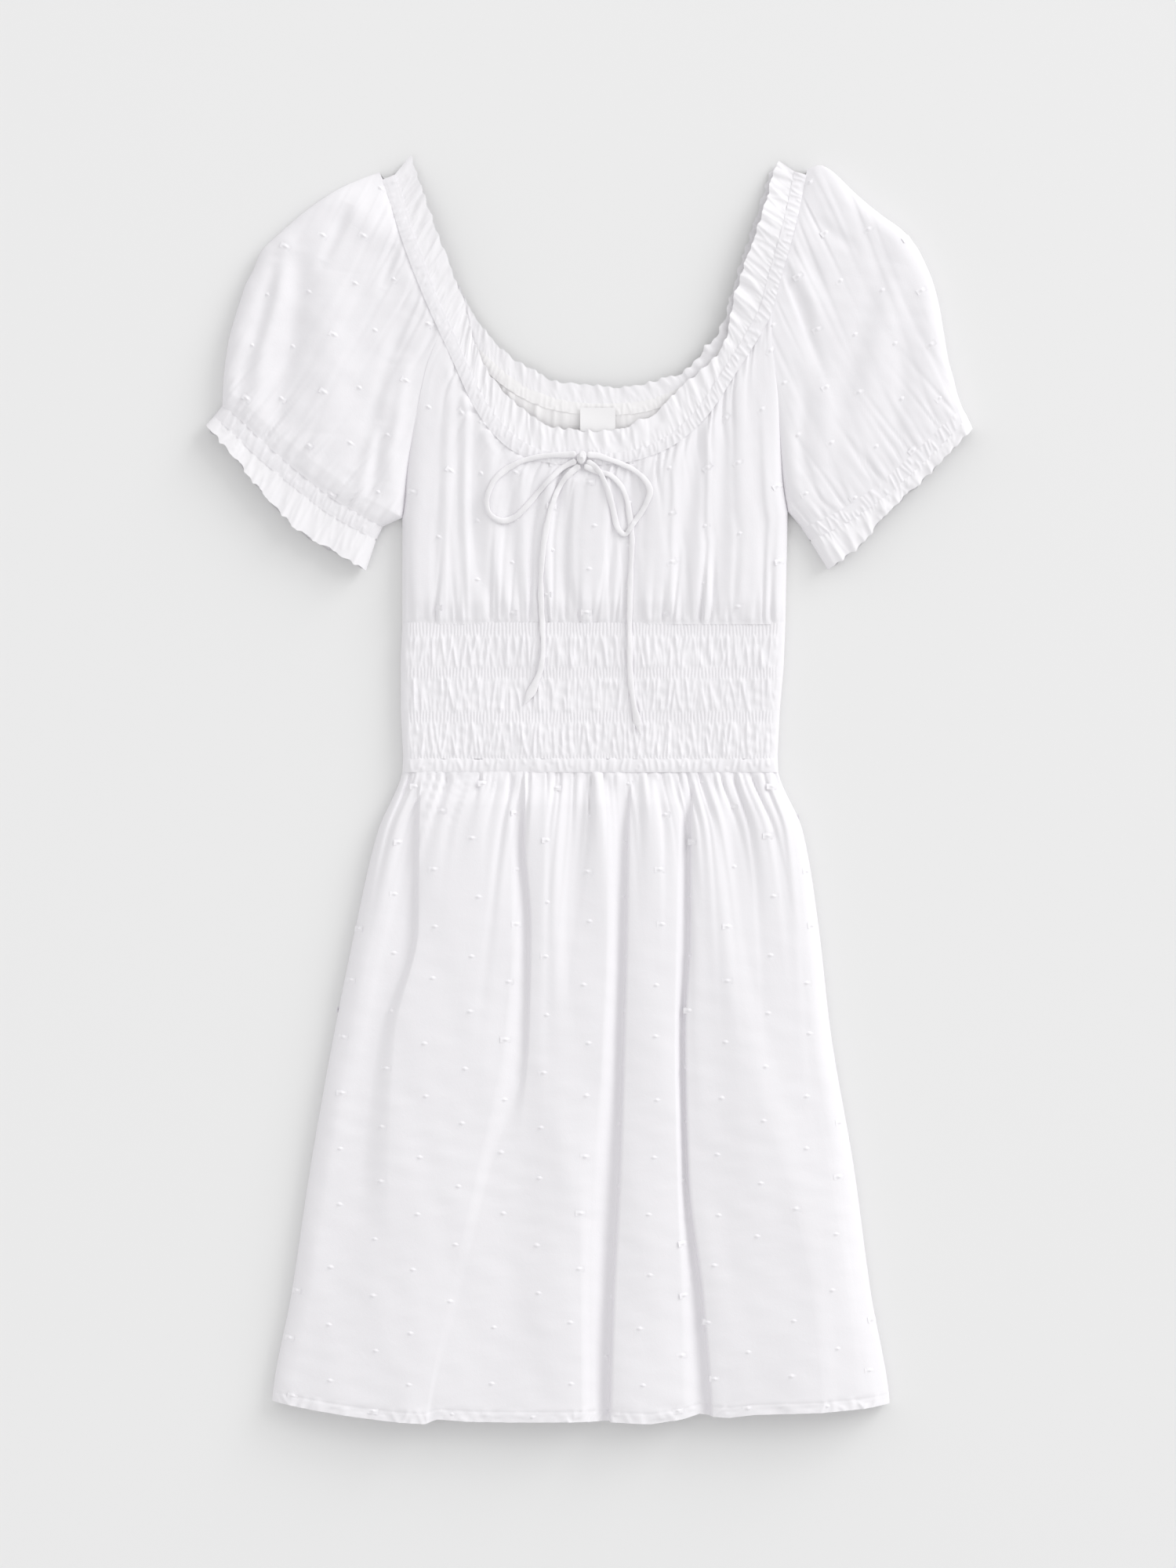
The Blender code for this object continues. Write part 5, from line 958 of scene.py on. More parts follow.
# %% Heights of the seams, and rows that follow them
NECK = 13.0                    # height of the front neck casing
NECK_LIFT = 6.6                # height of the back neck seam in its middle, on the folds under it
BODICE_LOW = SMOCK_HIGH - 0.3
BODICE_WIDTH = 266.0


def up_share(seam, y):
    """Share of the way up from a raglan seam's underarm end to its neck end, at level y."""
    return (y - seam[0][1]) / (seam[-1][1] - seam[0][1])


def seam_height(share):
    """Height of the front raglan seam from the underarm up."""
    return SIDE + (NECK - SIDE) * ease(1.3 * np.asarray(share))


def back_height(share):
    """Height of the back raglan seam from the underarm up."""
    return SIDE * (1.0 - ease(3.0 * np.asarray(share)))


def lifted(s):
    """Height of the back neck seam at a share s of its length: from the shoulders up to NECK_LIFT."""
    return 0.3 + NECK_LIFT * ease((s - 0.06) / 0.2) * ease((0.94 - s) / 0.2)


def take(levels, sheet, y):
    """Value of each column of a dense sheet at its own levels y."""
    place = np.clip((y - levels[0]) / (levels[1] - levels[0]), 0.0, len(levels) - 1.001)
    low = place.astype(int)
    part = place - low
    column = np.arange(sheet.shape[1])[None, :]
    return sheet[low, column] * (1.0 - part) + sheet[low + 1, column] * part


def crown_levels(levels, x, seam):
    """Level at which each column of a dense sheet first meets the seam."""
    seam = curve(seam)
    above = levels[:, None] - np.interp(x, seam[:, 0], seam[:, 1])
    hit = np.argmax(above >= 0.0, axis=0)
    column = np.arange(x.shape[1])
    before, after = above[hit - 1, column], above[hit, column]
    return levels[hit] - (levels[1] - levels[0]) * after / (after - before)


def to_sides(x, y, raglan_left, raglan_right, reach):
    """Move rows sideways so that their ends lie on the side folds and raglan seams, fading inward."""
    left = np.vstack([TORSO_LEFT[-1], curve(raglan_left)])
    right = np.vstack([TORSO_RIGHT[-1], curve(raglan_right)])
    miss_left = np.interp(y[:, 0], left[:, 1], left[:, 0])[:, None] - x[:, :1]
    miss_right = np.interp(y[:, -1], right[:, 1], right[:, 0])[:, None] - x[:, -1:]
    from_left, from_right = x - x[:, :1], x[:, -1:] - x
    return x + miss_left * (1.0 - ease(from_left / reach)) + miss_right * (1.0 - ease(from_right / reach))


print("back neck seam at", lifted(0.0), "at the shoulder and", round(float(lifted(0.5)), 1), "in the middle")

# %% Bodice front
FROM_SMOCKING = [  # kind, pitch, height, reach, seed, spread, start, share at the seam itself
    (gathers, 5.6, 1.4, 24.0, 41, 1.3, 4.0, 0.25),
    (grooves, 7.0, 1.9, 30.0, 47, 0.6, 4.0, 0.25),
    (gathers, 10.0, 1.0, 60.0, 42, 1.0, 10.0, 0.0),
    (grooves, 13.0, 1.6, 120.0, 49, 0.6, 6.0, 0.0),
]
FROM_NECK = [
    (gathers, 5.6, 1.3, 22.0, 43, 1.2, 4.0, 0.25),
    (grooves, 8.0, 1.7, 30.0, 48, 0.6, 4.0, 0.25),
    (gathers, 10.0, 1.0, 70.0, 44, 1.0, 10.0, 0.0),
]


def bodice_front_grid():
    """Softened fold lines from smocking to neck seam, gathered at both ends, rolled down at the sides."""
    levels = np.arange(112.0, 345.0, 0.5)
    x_sheet, z_sheet = folded(BODICE_FOLDS, BODICE_FOLDS_Y, levels, 13)
    top = crown_levels(levels, x_sheet, NECK_SEAM) + 0.9
    y = BODICE_LOW + graded(0.0, 1.0, 150, 0.2, 0.2)[:, None] * (top - BODICE_LOW)
    x = to_sides(take(levels, x_sheet, y), y, RAGLAN_LEFT, RAGLAN_RIGHT, 26.0)
    climb, left_over = y - BODICE_LOW, top - y
    z = 13.2 + 0.28 * (take(levels, z_sheet, y) - 13.2)
    z = (MID - 1.0) + (z - MID + 1.0) * ease(climb / 18.0)
    z = NECK - 0.6 + (z - NECK + 0.6) * ease(left_over / 14.0)
    place = width_share(x) * BODICE_WIDTH
    z = z + drawn_up(place, climb, FROM_SMOCKING) + drawn_up(place, left_over, FROM_NECK)
    z = z + unevenness(x, y, 45.0, 0.3, 45) * ease(climb / 20.0) * ease(left_over / 20.0)
    z = z + unevenness(0.6 * x, y, 9.0, 0.05, 46) * ease(climb / 10.0) * ease(left_over / 10.0)
    base_left = seam_height(up_share(RAGLAN_LEFT, y[:, :1]))
    base_right = seam_height(up_share(RAGLAN_RIGHT, y[:, -1:]))
    z = roll_up(to_edge(x), z, np.where(x < 0.0, base_left, base_right), FRONT_ROLL)
    return np.stack([x, y, z], axis=-1)


grid = bodice_front_grid()
bodice_front = cloth_piece("bodice_front", grid, dotted)
tufts("bodice_front_tufts", grid)


# %% Bodice back
def bodice_back_grid():
    """Plain patch from the smocking to the back neck seam, flat on the table and lifted towards the neck."""
    seam = curve(BACK_SEAM)
    first = np.argmin(np.linalg.norm(seam - RAGLAN_LEFT_BACK[-1], axis=1))
    last = np.argmin(np.linalg.norm(seam - RAGLAN_RIGHT_BACK[-1], axis=1))
    share = np.concatenate([[0.0, 0.001, 0.003, 0.007, 0.013, 0.02, 0.03], np.linspace(0.04, 0.96, 160)])
    share = np.concatenate([share, 1.0 - share[6::-1]])
    top = along(seam[first:last + 1:4], share)
    low, high = TORSO_LEFT[-1][0], TORSO_RIGHT[-1][0]
    climb_share = np.linspace(0.0, 1.0, 90)[:, None]
    x = (low + (high - low) * share) * (1.0 - climb_share) + top[:, 0] * climb_share
    y = BODICE_LOW + climb_share * (top[:, 1] - BODICE_LOW)
    x = to_sides(x, y, RAGLAN_LEFT_BACK, RAGLAN_RIGHT_BACK, 30.0)
    edge = to_edge(x)
    place = share[None, :] * 240.0 + 0.0 * y
    to_neck = top[None, :, 1] - y
    lift = np.maximum(gathers(place, y - BODICE_LOW, 5.2, 1.3, 25.0, 51, 1.2), -0.1)
    lift = lift + np.maximum(gathers(place, to_neck, 5.0, 1.2, 30.0, 52, 1.0), -0.1)
    lift = lift + 0.12 + np.abs(unevenness(x, y, 40.0, 0.3, 53))
    level_left = back_height(up_share(RAGLAN_LEFT_BACK, y[:, :1]))
    level_right = back_height(up_share(RAGLAN_RIGHT_BACK, y[:, -1:]))
    z = roll_under(edge, np.where(x < 0.0, level_left, level_right)) + lift * ease((edge - 2.0) / 9.0) + 0.02
    whole = arc(seam) / arc(seam)[-1]
    rise = lifted(whole[first] + share * (whole[last] - whole[first]))
    rise = rise + 1.1 * ease(share / 0.1) * ease((1.0 - share) / 0.1)
    z = z + rise[None, :] * np.exp(-(to_neck / 34.0) ** 2)
    return np.stack([x, y, z], axis=-1)


bodice_back = cloth_piece("bodice_back", bodice_back_grid(), inside_cotton_painted_light, up=False, thick=0.4)

# %% [markdown]
# ## Sleeves
# Each puffed sleeve is a flattened tube. Its front runs from the neck casing and the raglan
# seam out to the sleeve's fold, and its back returns under it. Two separate panels could be
# laid on each other, but they would part at the fold. So a sleeve is one grid that goes
# round: one row for each place between the shoulder and the cuff's underarm end. Ridges and
# valleys follow routes read off the picture, and small gathers run in from both seams.

# %% Lines of the sleeves
# Outer fold of the left sleeve, from the neck to the cuff.
SLEEVE_LEFT_FOLD = [  # x, y
    (-145.8, 428.6), (-153.4, 425.9), (-167.0, 420.5), (-177.9, 415.0), (-188.8, 407.9),
    (-199.7, 399.8), (-207.9, 392.7), (-221.5, 380.7), (-228.1, 373.6), (-234.1, 360.0),
    (-239.0, 350.7), (-243.3, 337.6), (-247.7, 323.5), (-251.0, 310.9), (-253.1, 297.3),
    (-254.8, 280.9), (-255.3, 266.2),
]

# Outer fold of the right sleeve, from the neck to the cuff.
SLEEVE_RIGHT_FOLD = [  # x, y
    (151.8, 430.3), (159.4, 433.5), (166.0, 431.4), (173.6, 425.4), (182.3, 416.7), (192.7, 407.4),
    (203.6, 398.7), (217.2, 388.9), (227.0, 378.0), (233.0, 367.1), (239.0, 352.9), (243.4, 336.5),
    (246.6, 318.0), (249.9, 298.4), (253.2, 286.4), (256.4, 273.9), (259.7, 264.6),
]

# Left cuff: end of the sleeve, from underarm to outer fold.
CUFF_LEFT_SEAM = [  # x, y
    (-144.1, 181.8), (-175.2, 199.2), (-199.7, 217.7), (-224.3, 238.4), (-241.7, 255.3),
    (-255.3, 266.2),
]

# Left cuff: line between casing and frill.
CUFF_LEFT_CASING = [  # x, y
    (-148.5, 173.0), (-180.7, 191.0), (-205.7, 210.1), (-230.8, 230.8), (-247.7, 247.2),
    (-260.8, 259.1),
]

# Left cuff: free edge of the frill.
CUFF_LEFT_EDGE = [  # x, y
    (-155.6, 151.8), (-177.9, 164.9), (-202.5, 179.6), (-228.1, 206.8), (-247.1, 230.8),
    (-266.8, 252.6),
]

# Right cuff: end of the sleeve, from underarm to outer fold.
CUFF_RIGHT_SEAM = [  # x, y
    (148.5, 180.7), (173.6, 192.7), (198.1, 209.0), (222.6, 230.3), (244.4, 251.0), (259.7, 264.6),
]

# Right cuff: line between casing and frill.
CUFF_RIGHT_CASING = [  # x, y
    (154.0, 172.5), (179.0, 185.0), (204.1, 201.9), (228.6, 223.2), (249.9, 244.4), (263.0, 258.6),
]

# Right cuff: free edge of the frill.
CUFF_RIGHT_EDGE = [  # x, y
    (166.5, 152.3), (188.9, 169.8), (209.6, 193.7), (233.5, 215.5), (251.5, 234.6), (266.8, 250.4),
]

# Left sleeve: ridges raise the cloth and valleys lower it along a route.
SLEEVE_LEFT_FOLDS = [  # name, height change (mm), half width (mm), route (x, y)
    ("outer valley", -3, 5,
     [(-217.7, 368.1), (-223.2, 340.9), (-230.8, 313.6), (-240.6, 286.4), (-245.0, 269.0)]),
    ("outer ridge", 3, 6, [(-210.1, 378.0), (-216.6, 340.9), (-225.9, 308.2), (-231.9, 267.3)]),
    ("broad valley", -4, 8,
     [(-200.3, 376.3), (-202.5, 340.9), (-207.9, 302.7), (-215.5, 270.0), (-218.8, 248.2)]),
    ("broad ridge", 5, 16, [(-174.1, 362.7), (-178.5, 330.0), (-181.7, 291.8), (-185.0, 242.8)]),
    ("shoulder valley", -3, 5, [(-166.5, 407.4), (-176.3, 384.5), (-185.0, 365.4)]),
    ("casing valley", -2, 4, [(-134.3, 379.0), (-143.6, 346.3)]),
    ("long valley", -4, 6,
     [(-127.2, 330.0), (-135.4, 305.5), (-142.5, 280.9), (-152.3, 242.8), (-167.0, 218.3)]),
    ("long ridge", 4, 6, [(-135.4, 297.3), (-143.6, 264.6), (-155.6, 221.0), (-164.3, 204.6)]),
    ("inner valley", -3, 4, [(-144.1, 253.7), (-149.0, 221.0), (-153.4, 199.2)]),
    ("inner ridge", 3, 5, [(-126.2, 297.3), (-132.7, 259.1), (-141.4, 210.1)]),
]

# Right sleeve: ridges raise the cloth and valleys lower it along a route.
SLEEVE_RIGHT_FOLDS = [  # name, height change (mm), half width (mm), route (x, y)
    ("shoulder valley", -3, 5, [(158.3, 395.4), (169.2, 385.6), (184.5, 374.7)]),
    ("deep valley", -5, 5, [(137.1, 357.2), (143.1, 343.6), (148.5, 330.0), (152.9, 313.6), (160.0, 292.9)]),
    ("second valley", -3, 5, [(147.4, 374.7), (155.1, 361.6), (161.6, 345.3)]),
    ("between ridge", 3, 5, [(142.0, 365.4), (151.8, 346.3), (160.0, 324.5)]),
    ("broad valley", -3, 9, [(205.2, 365.4), (195.4, 335.4), (187.2, 308.2), (176.3, 275.5), (163.8, 248.2)]),
    ("broad ridge", 4, 12, [(214.5, 368.1), (205.2, 330.0), (195.4, 286.4), (181.8, 242.8)]),
    ("inner valley", -3, 5, [(143.1, 291.8), (149.1, 272.8), (147.4, 242.8), (149.1, 215.5)]),
    ("inner ridge", 4, 8, [(162.7, 286.4), (163.8, 253.7), (160.0, 221.0)]),
    ("outer ridge", 3, 8, [(231.4, 330.0), (235.7, 302.7), (232.5, 264.6)]),
    ("outer valley", -3, 6, [(217.2, 308.2), (217.2, 275.5), (211.7, 242.8)]),
]

print("folds drawn in the sleeves", len(SLEEVE_LEFT_FOLDS), "left and", len(SLEEVE_RIGHT_FOLDS), "right")

# %% Folds and seams of a sleeve
SHOULDER = 4.5                 # height of the neck casing at the shoulders
CUFF = 11.0                    # height of the cuffs


def neck_height(share):
    """Height of the front neck casing: low where it turns over at the shoulders."""
    return SHOULDER + (NECK - SHOULDER) * ease(np.minimum(share, 1.0 - np.asarray(share)) / 0.10)


def fold_heights(spots, table):
    """Each ridge or valley adds its height times exp(-(distance to its route / half width)^2).

    The height tapers to both ends of the route, as sqrt(sin) of the share of its length.
    """
    total = np.zeros(spots.shape[:-1])
    for name, change, reach, route in table:
        path = curve(route, 5)
        length = arc(path)
        nearest = np.full(spots.shape[:-1], 1e9)
        part = np.zeros(spots.shape[:-1])
        for k in range(len(path) - 1):
            way = path[k + 1] - path[k]
            t = np.clip((spots - path[k]) @ way / (way @ way), 0.0, 1.0)
            gap = np.linalg.norm(spots - path[k] - t[..., None] * way, axis=-1)
            closer = gap < nearest
            nearest = np.where(closer, gap, nearest)
            part = np.where(closer, (length[k] + t * (length[k + 1] - length[k])) / length[-1], part)
        taper = np.sin(np.clip(part, 0.03, 0.97) * np.pi) ** 0.5
        total += change * taper * np.exp(-(nearest / reach) ** 2)
    return total


def neck_part(seam, top, from_end):
    """The stretch of a neck seam between a shoulder and a raglan seam's top."""
    dense = curve(seam)
    near = np.argmin(np.linalg.norm(dense - top, axis=1))
    return dense[near:][::-1] if from_end else dense[:near + 1]


def marked(neck, raglan, corner, marks, t):
    """Points at t of a path: neck part to marks[0], raglan seam to marks[1], then on to the cuff corner."""
    down = curve(raglan)[::-1]
    keys = np.concatenate([arc(neck) / arc(neck)[-1] * marks[0],
                           marks[0] + (marks[1] - marks[0]) * arc(down) / arc(down)[-1], [1.0]])
    spots = np.vstack([neck, down, corner])
    return np.stack([np.interp(t, keys, spots[:, k]) for k in (0, 1)], axis=-1)


def rounded(count, share):
    """count values from 0 to 1, closer together at both ends: a mix of t and (1 - cos(pi t)) / 2."""
    even = np.linspace(0.0, 1.0, count)
    return (1.0 - share) * even + share * (0.5 - 0.5 * np.cos(np.pi * even))


def bend_of(line, s):
    """How far a line lies from the straight way between its ends, at shares s of its length."""
    start, end = np.array(line[0]), np.array(line[-1])
    return along(line, s) - (start + (end - start) * s[:, None])


def distance_to(line, spots):
    """Distance of each spot from the nearest point of a line."""
    return np.linalg.norm(spots[:, :, None] - line, axis=-1).min(axis=-1)


print("neck casing at", float(neck_height(0.0)), "at the shoulder and", float(neck_height(0.5)), "in front")


# %% One sleeve as a grid
def sleeve_relief(front, neck, cuff_line, run, seed, strength):
    """Gathers and grooves that run in from the cuff and from the neck, and gentle waves between them."""
    corner = cuff_line[0]
    chord = (cuff_line[-1] - corner) / np.linalg.norm(cuff_line[-1] - corner)
    along_cuff = (front - corner) @ chord
    to_cuff = distance_to(cuff_line, front)
    to_neck = distance_to(neck[:: max(1, len(neck) // 50)], front)
    fall = 0.5 * (cuff_line[0] + cuff_line[-1]) - 0.5 * (neck[0] + neck[-1])
    across_fall = (front - corner) @ np.array([fall[1], -fall[0]]) / np.linalg.norm(fall)
    relief = gathers(along_cuff, to_cuff, 5.6, 1.5, 26.0, seed, 1.3)
    relief = relief + grooves(along_cuff, to_cuff, 8.0, 1.7, 34.0, seed + 8)
    relief = relief + gathers(across_fall, to_neck, 7.0, 1.2, 32.0, seed + 2, 0.8)
    relief = relief + grooves(across_fall, to_neck, 11.0, 1.5, 60.0, seed + 7)
    relief = relief + grooves(across_fall, to_cuff, 17.0, 1.2, 110.0, seed + 9)
    relief = strength * relief * (0.4 + 0.6 * ease(np.minimum(to_cuff, to_neck) / 5.0))
    relief = relief + unevenness(0.6 * front[..., 0], front[..., 1], 12.0, 0.05, seed + 10)
    broad = unevenness(front[..., 0], front[..., 1], 38.0, 0.25, seed + 4)
    return relief + broad * ease(to_cuff / 25.0) * ease(run / 20.0)


def sleeve_back(fold, end, under, cuff_line, cuff_seam, curving, seed):
    """The rows' way back under the sleeve: flat on the table, rolled up at the fold and at the seam."""
    s = rounded(44, 0.6)[1:]
    plan = fold[:, None] + (end - fold)[:, None] * s[:, None] + bend_of(cuff_seam[::-1], s) * curving
    span = np.linalg.norm(fold - end, axis=1)[:, None]
    roll = np.minimum(BACK_ROLL, span / 4.0)
    run = s * span
    z = roll_under(run, SIDE, roll) + roll_under(span - run, under[:, None], roll)
    corner = cuff_line[0]
    chord = (cuff_line[-1] - corner) / np.linalg.norm(cuff_line[-1] - corner)
    to_cuff = distance_to(cuff_line, plan)
    lift = np.maximum(gathers((plan - corner) @ chord, to_cuff, 5.0, 1.6, 24.0, seed + 5, 1.2), 0.0)
    lift = lift + 0.1 + np.abs(unevenness(plan[..., 0], plan[..., 1], 40.0, 0.3, seed + 6))
    z = z + lift * ease((run - 4.0) / 8.0) * ease((span - run - 3.0) / 8.0)
    return np.concatenate([plan, z[..., None]], axis=-1)


def sleeve_grid(raglan, raglan_back, fold_path, cuff_seam, folds, from_end, seed, tall, strength):
    """Rows from the front seam out to the fold and back under it; t runs from the shoulder to the cuff."""
    neck = neck_part(NECK_SEAM, raglan[-1], from_end)
    neck_back = neck_part(BACK_SEAM, raglan_back[-1], from_end)
    corner = np.array(cuff_seam[0])
    lengths = [arc(neck)[-1], arc(curve(raglan))[-1], np.linalg.norm(corner - raglan[0])]
    marks = [lengths[0] / sum(lengths), (lengths[0] + lengths[1]) / sum(lengths)]
    t = np.linspace(0.0, 1.0, 250)
    start = marked(neck, raglan, corner, marks, t)
    end = marked(neck_back, raglan_back, corner, marks, t)
    fold = along(fold_path, t)
    fold[-1] = cuff_seam[-1]
    s = rounded(120, 0.45)
    curving = ease((t - 0.72) / 0.28)[:, None, None]
    under_seam = 0.9 * (1.0 - ease(s / 0.12))[:, None]
    inward = (start - fold) / (np.linalg.norm(start - fold, axis=1)[:, None] + 1e-6)
    front = start[:, None] + (fold - start)[:, None] * s[:, None] + bend_of(cuff_seam, s) * curving
    front = front + inward[:, None] * under_seam * (1.0 - curving)
    span = np.linalg.norm(fold - start, axis=1)[:, None]
    run = s * span
    roll = np.minimum(12.0, span / 3.0)
    down = np.clip((t - marks[0]) / (marks[1] - marks[0]), 0.0, 1.0)
    neck_share = t / marks[0] * lengths[0] / arc(curve(NECK_SEAM))[-1]
    base = np.where(t < marks[0], neck_height(neck_share), seam_height(1.0 - down))
    under = np.where(t < marks[0], 0.0, back_height(1.0 - down))
    cuff_line = along(cuff_seam, np.linspace(0.0, 1.0, 60))
    top = np.interp(t, [0.0, marks[1], 1.0], [12.5, 12.6, CUFF])[:, None] + tall * fold_heights(front, folds)
    relief = sleeve_relief(front, neck, cuff_line, run, seed, strength)
    top = SHOULDER + (top - SHOULDER) * ease(span / 75.0) + relief * ease(span / 60.0)
    z = roll_up(run, top, base[:, None] - 0.45 * (1.0 - curving[..., 0]), roll)
    z = roll_up(span - run, z, SIDE, roll)
    front = np.concatenate([front, z[..., None]], axis=-1)
    return np.concatenate([front, sleeve_back(fold, end, under, cuff_line, cuff_seam, curving, seed)], axis=1)


# %% Both sleeves
SLEEVES = [  # side, raglan seams, outer fold, cuff seam, folds, whether the neck is counted from its end, and
    # the seed, the share of the drawn folds' height and the share of the gathers' height
    ("left", RAGLAN_LEFT, RAGLAN_LEFT_BACK, SLEEVE_LEFT_FOLD, CUFF_LEFT_SEAM, SLEEVE_LEFT_FOLDS,
     False, 61, 0.65, 1.0),
    ("right", RAGLAN_RIGHT, RAGLAN_RIGHT_BACK, SLEEVE_RIGHT_FOLD, CUFF_RIGHT_SEAM, SLEEVE_RIGHT_FOLDS,
     True, 71, 0.35, 0.65),
]
for side, *lines_and_shares in SLEEVES:
    grid = sleeve_grid(*lines_and_shares)
    sleeve = cloth_piece("sleeve_" + side, grid, dotted, probe=0.3)
    tufts("sleeve_" + side + "_tufts", grid[:, :118])

# %% [markdown]
# ## Cuffs and their ruffles
# A cuff is a channel of cloth puckered on elastic, with a ruffle beyond it. The ruffle's
# free edge is longer than the casing, so it stands in waves. An even wave would look like
# pie crust. So the ruffle's pleats are unequal ridges that grow from nothing at the casing
# to their full height at the edge, with finer puckers where the elastic draws them up.

# %% Casing and ruffle as reliefs
def towards(line, other, distance):
    """A line moved towards another one by a distance at each of its points."""
    share = np.linspace(0.0, 1.0, 3 * len(line))
    here, there = along(line, share), along(other, share)
    way = there - here
    return here + way * distance / np.linalg.norm(way, axis=1)[:, None]


def casing_relief(place, out, seed):
    """A puffed channel with fine uneven puckers, sunk along a row of stitches near each edge."""
    folds = pleats(place, out, 3.6, seed, 0.5, 0.6, 1.1)
    swell = 0.45 + 0.55 * np.sqrt(np.clip(1.0 - (2.0 * out - 1.0) ** 2, 0.0, 1.0))
    dip = np.exp(-((out - 0.13) / 0.06) ** 2) + np.exp(-((out - 0.87) / 0.06) ** 2)
    return 0.1 + swell * (0.3 + 0.62 * folds) - 0.12 * dip, 0.0 * folds


def frill_relief(place, out, seed):
    """Pleats that grow towards the free edge, fine puckers at the casing, and how far each leans out."""
    grown = 0.25 + 0.75 * ease(1.3 * out)
    folds = pleats(place, out, 9.2, seed, 0.25, 0.85, 1.15)
    folds = folds + 0.4 * pleats(place, out, 4.6, seed + 1, 0.8, 0.35, 1.1)
    slow = unevenness(place, 4.0 * out, 24.0, 0.55, seed + 2)
    fine = pleats(place, out, 2.9, seed + 3, 0.5, 0.5, 1.2) * (1.0 - ease(out * 2.2))
    return 1.35 * folds * grown + slow * out - 0.7 * grown + 0.45 * fine, (folds - 0.6) * out * 1.7


def band(line_a, line_b, s, rows):
    """Points across a band between two lines, the distance along it, and its outward direction."""
    t = np.linspace(0.0, 1.0, rows)[:, None]
    a, b = along(line_a, s), along(line_b, s)
    outward = (b - a) / np.linalg.norm(b - a, axis=1)[:, None]
    return t, a * (1.0 - t[..., None]) + b * t[..., None], 0.5 * (arc(a) + arc(b)), outward


rise, reach = frill_relief(np.linspace(0.0, 100.0, 300)[None, :], np.linspace(0.0, 1.0, 9)[:, None], 5)
print("a ruffle's edge stands", round(float(np.ptp(rise[-1])), 1), "mm high")


# %% Both cuffs
def ring_strip(line_a, line_b, heights, relief, columns, rows, seed):
    """Flattened ring between two lines: front from the underarm to the fold, then back under it."""
    t, plan, length, outward = band(line_a, line_b, rounded(columns, 0.4), rows)
    edge = np.minimum(length, length[-1] - length)[None, :]
    calm = ease((edge - 0.5) / 6.0)
    rise, reach = relief(length[None, :], t, seed)
    top = heights[0] + (heights[1] - heights[0]) * t + rise * calm
    z = roll_up(edge, top, SIDE, 12.0)
    front = np.concatenate([plan + (reach * calm)[..., None] * outward, z[..., None]], axis=-1)
    pick = np.arange(columns - 2, -1, -2)
    edge, calm = edge[:, pick], calm[:, pick]
    rise, reach = relief(length[None, pick], t, seed + 9)
    z = roll_under(edge, SIDE) + (rise - rise.min()) * 0.5 * calm + 0.02
    back = np.concatenate([plan[:, pick] + (reach * calm)[..., None] * outward[pick], z[..., None]], axis=-1)
    return np.concatenate([front, back, front[:, :1] - [0.0, 0.0, 0.05]], axis=1)


for side, seam, line, edge, seed, cut in (
        ("left", CUFF_LEFT_SEAM, CUFF_LEFT_CASING, CUFF_LEFT_EDGE, 81, (0.36, 0.020)),
        ("right", CUFF_RIGHT_SEAM, CUFF_RIGHT_CASING, CUFF_RIGHT_EDGE, 91, (0.34, 0.014))):
    heights = (CUFF - 0.3, CUFF - 0.6)
    inner, outer = towards(seam, line, -0.4), towards(line, seam, -0.4)
    grid = ring_strip(inner, outer, heights, casing_relief, 380, 14, seed)
    casing = cloth_piece("cuff_casing_" + side, grid, plain_cotton, thick=0.4, probe=0.2)
    heights = (CUFF - 0.7, CUFF + 0.8)
    grid = ring_strip(towards(line, edge, -0.5), edge, heights, frill_relief, 380, 18, seed + 1)
    frill = cloth_piece("cuff_frill_" + side, grid, frill_cotton_painted_light, thick=0.4, probe=0.2)

# %% [markdown]
# ## Neckline
# The same channel and ruffle go round the neck. They could be one ring, but the front ones
# lie high, over the gathered bodice, and turn over the shoulders to meet the back ones. So
# front and back are two strips each. The back of the neck lies on the folds of the bodice
# below it and not on the table, and is seen through the neck's opening.

# %% Lines of the neckline
# Line between the front neck casing and its frill.
NECK_FRILL_BASE = [  # x, y
    (-135.4, 427.0), (-129.4, 409.0), (-123.4, 388.9), (-116.3, 369.2), (-108.7, 348.5),
    (-102.2, 332.7), (-96.2, 320.2), (-88.0, 301.7), (-80.4, 284.2), (-72.7, 269.5), (-62.9, 255.9),
    (-50.9, 243.9), (-36.8, 235.7), (-19.3, 232.4), (-0.8, 231.9), (21.0, 233.0), (38.4, 236.8),
    (52.6, 243.3), (65.1, 252.6), (76.0, 264.1), (85.3, 277.7), (95.1, 292.9), (104.9, 308.2),
    (112.6, 321.8), (119.1, 334.4), (122.9, 348.5), (126.7, 362.2), (132.2, 381.2), (137.6, 402.5),
    (143.1, 429.2),
]

# Free edge of the front neck frill.
NECK_FRILL_EDGE = [  # x, y
    (-124.0, 440.6), (-116.3, 417.2), (-108.2, 393.8), (-100.0, 372.5), (-92.4, 351.8),
    (-86.5, 338.0), (-84.0, 326.0), (-79.5, 309.5), (-73.0, 295.0), (-66.0, 283.5), (-54.5, 271.0),
    (-44.0, 262.0), (-32.4, 253.7), (-18.2, 249.9), (-0.8, 247.7), (21.0, 249.9), (34.6, 254.8),
    (46.1, 261.3), (54.8, 269.5), (63.5, 278.8), (73.3, 286.9), (82.6, 295.1), (90.8, 303.8),
    (95.7, 315.3), (97.8, 328.4), (101.1, 342.0), (106.0, 358.3), (112.6, 378.5), (120.2, 399.8),
    (131.1, 437.4),
]

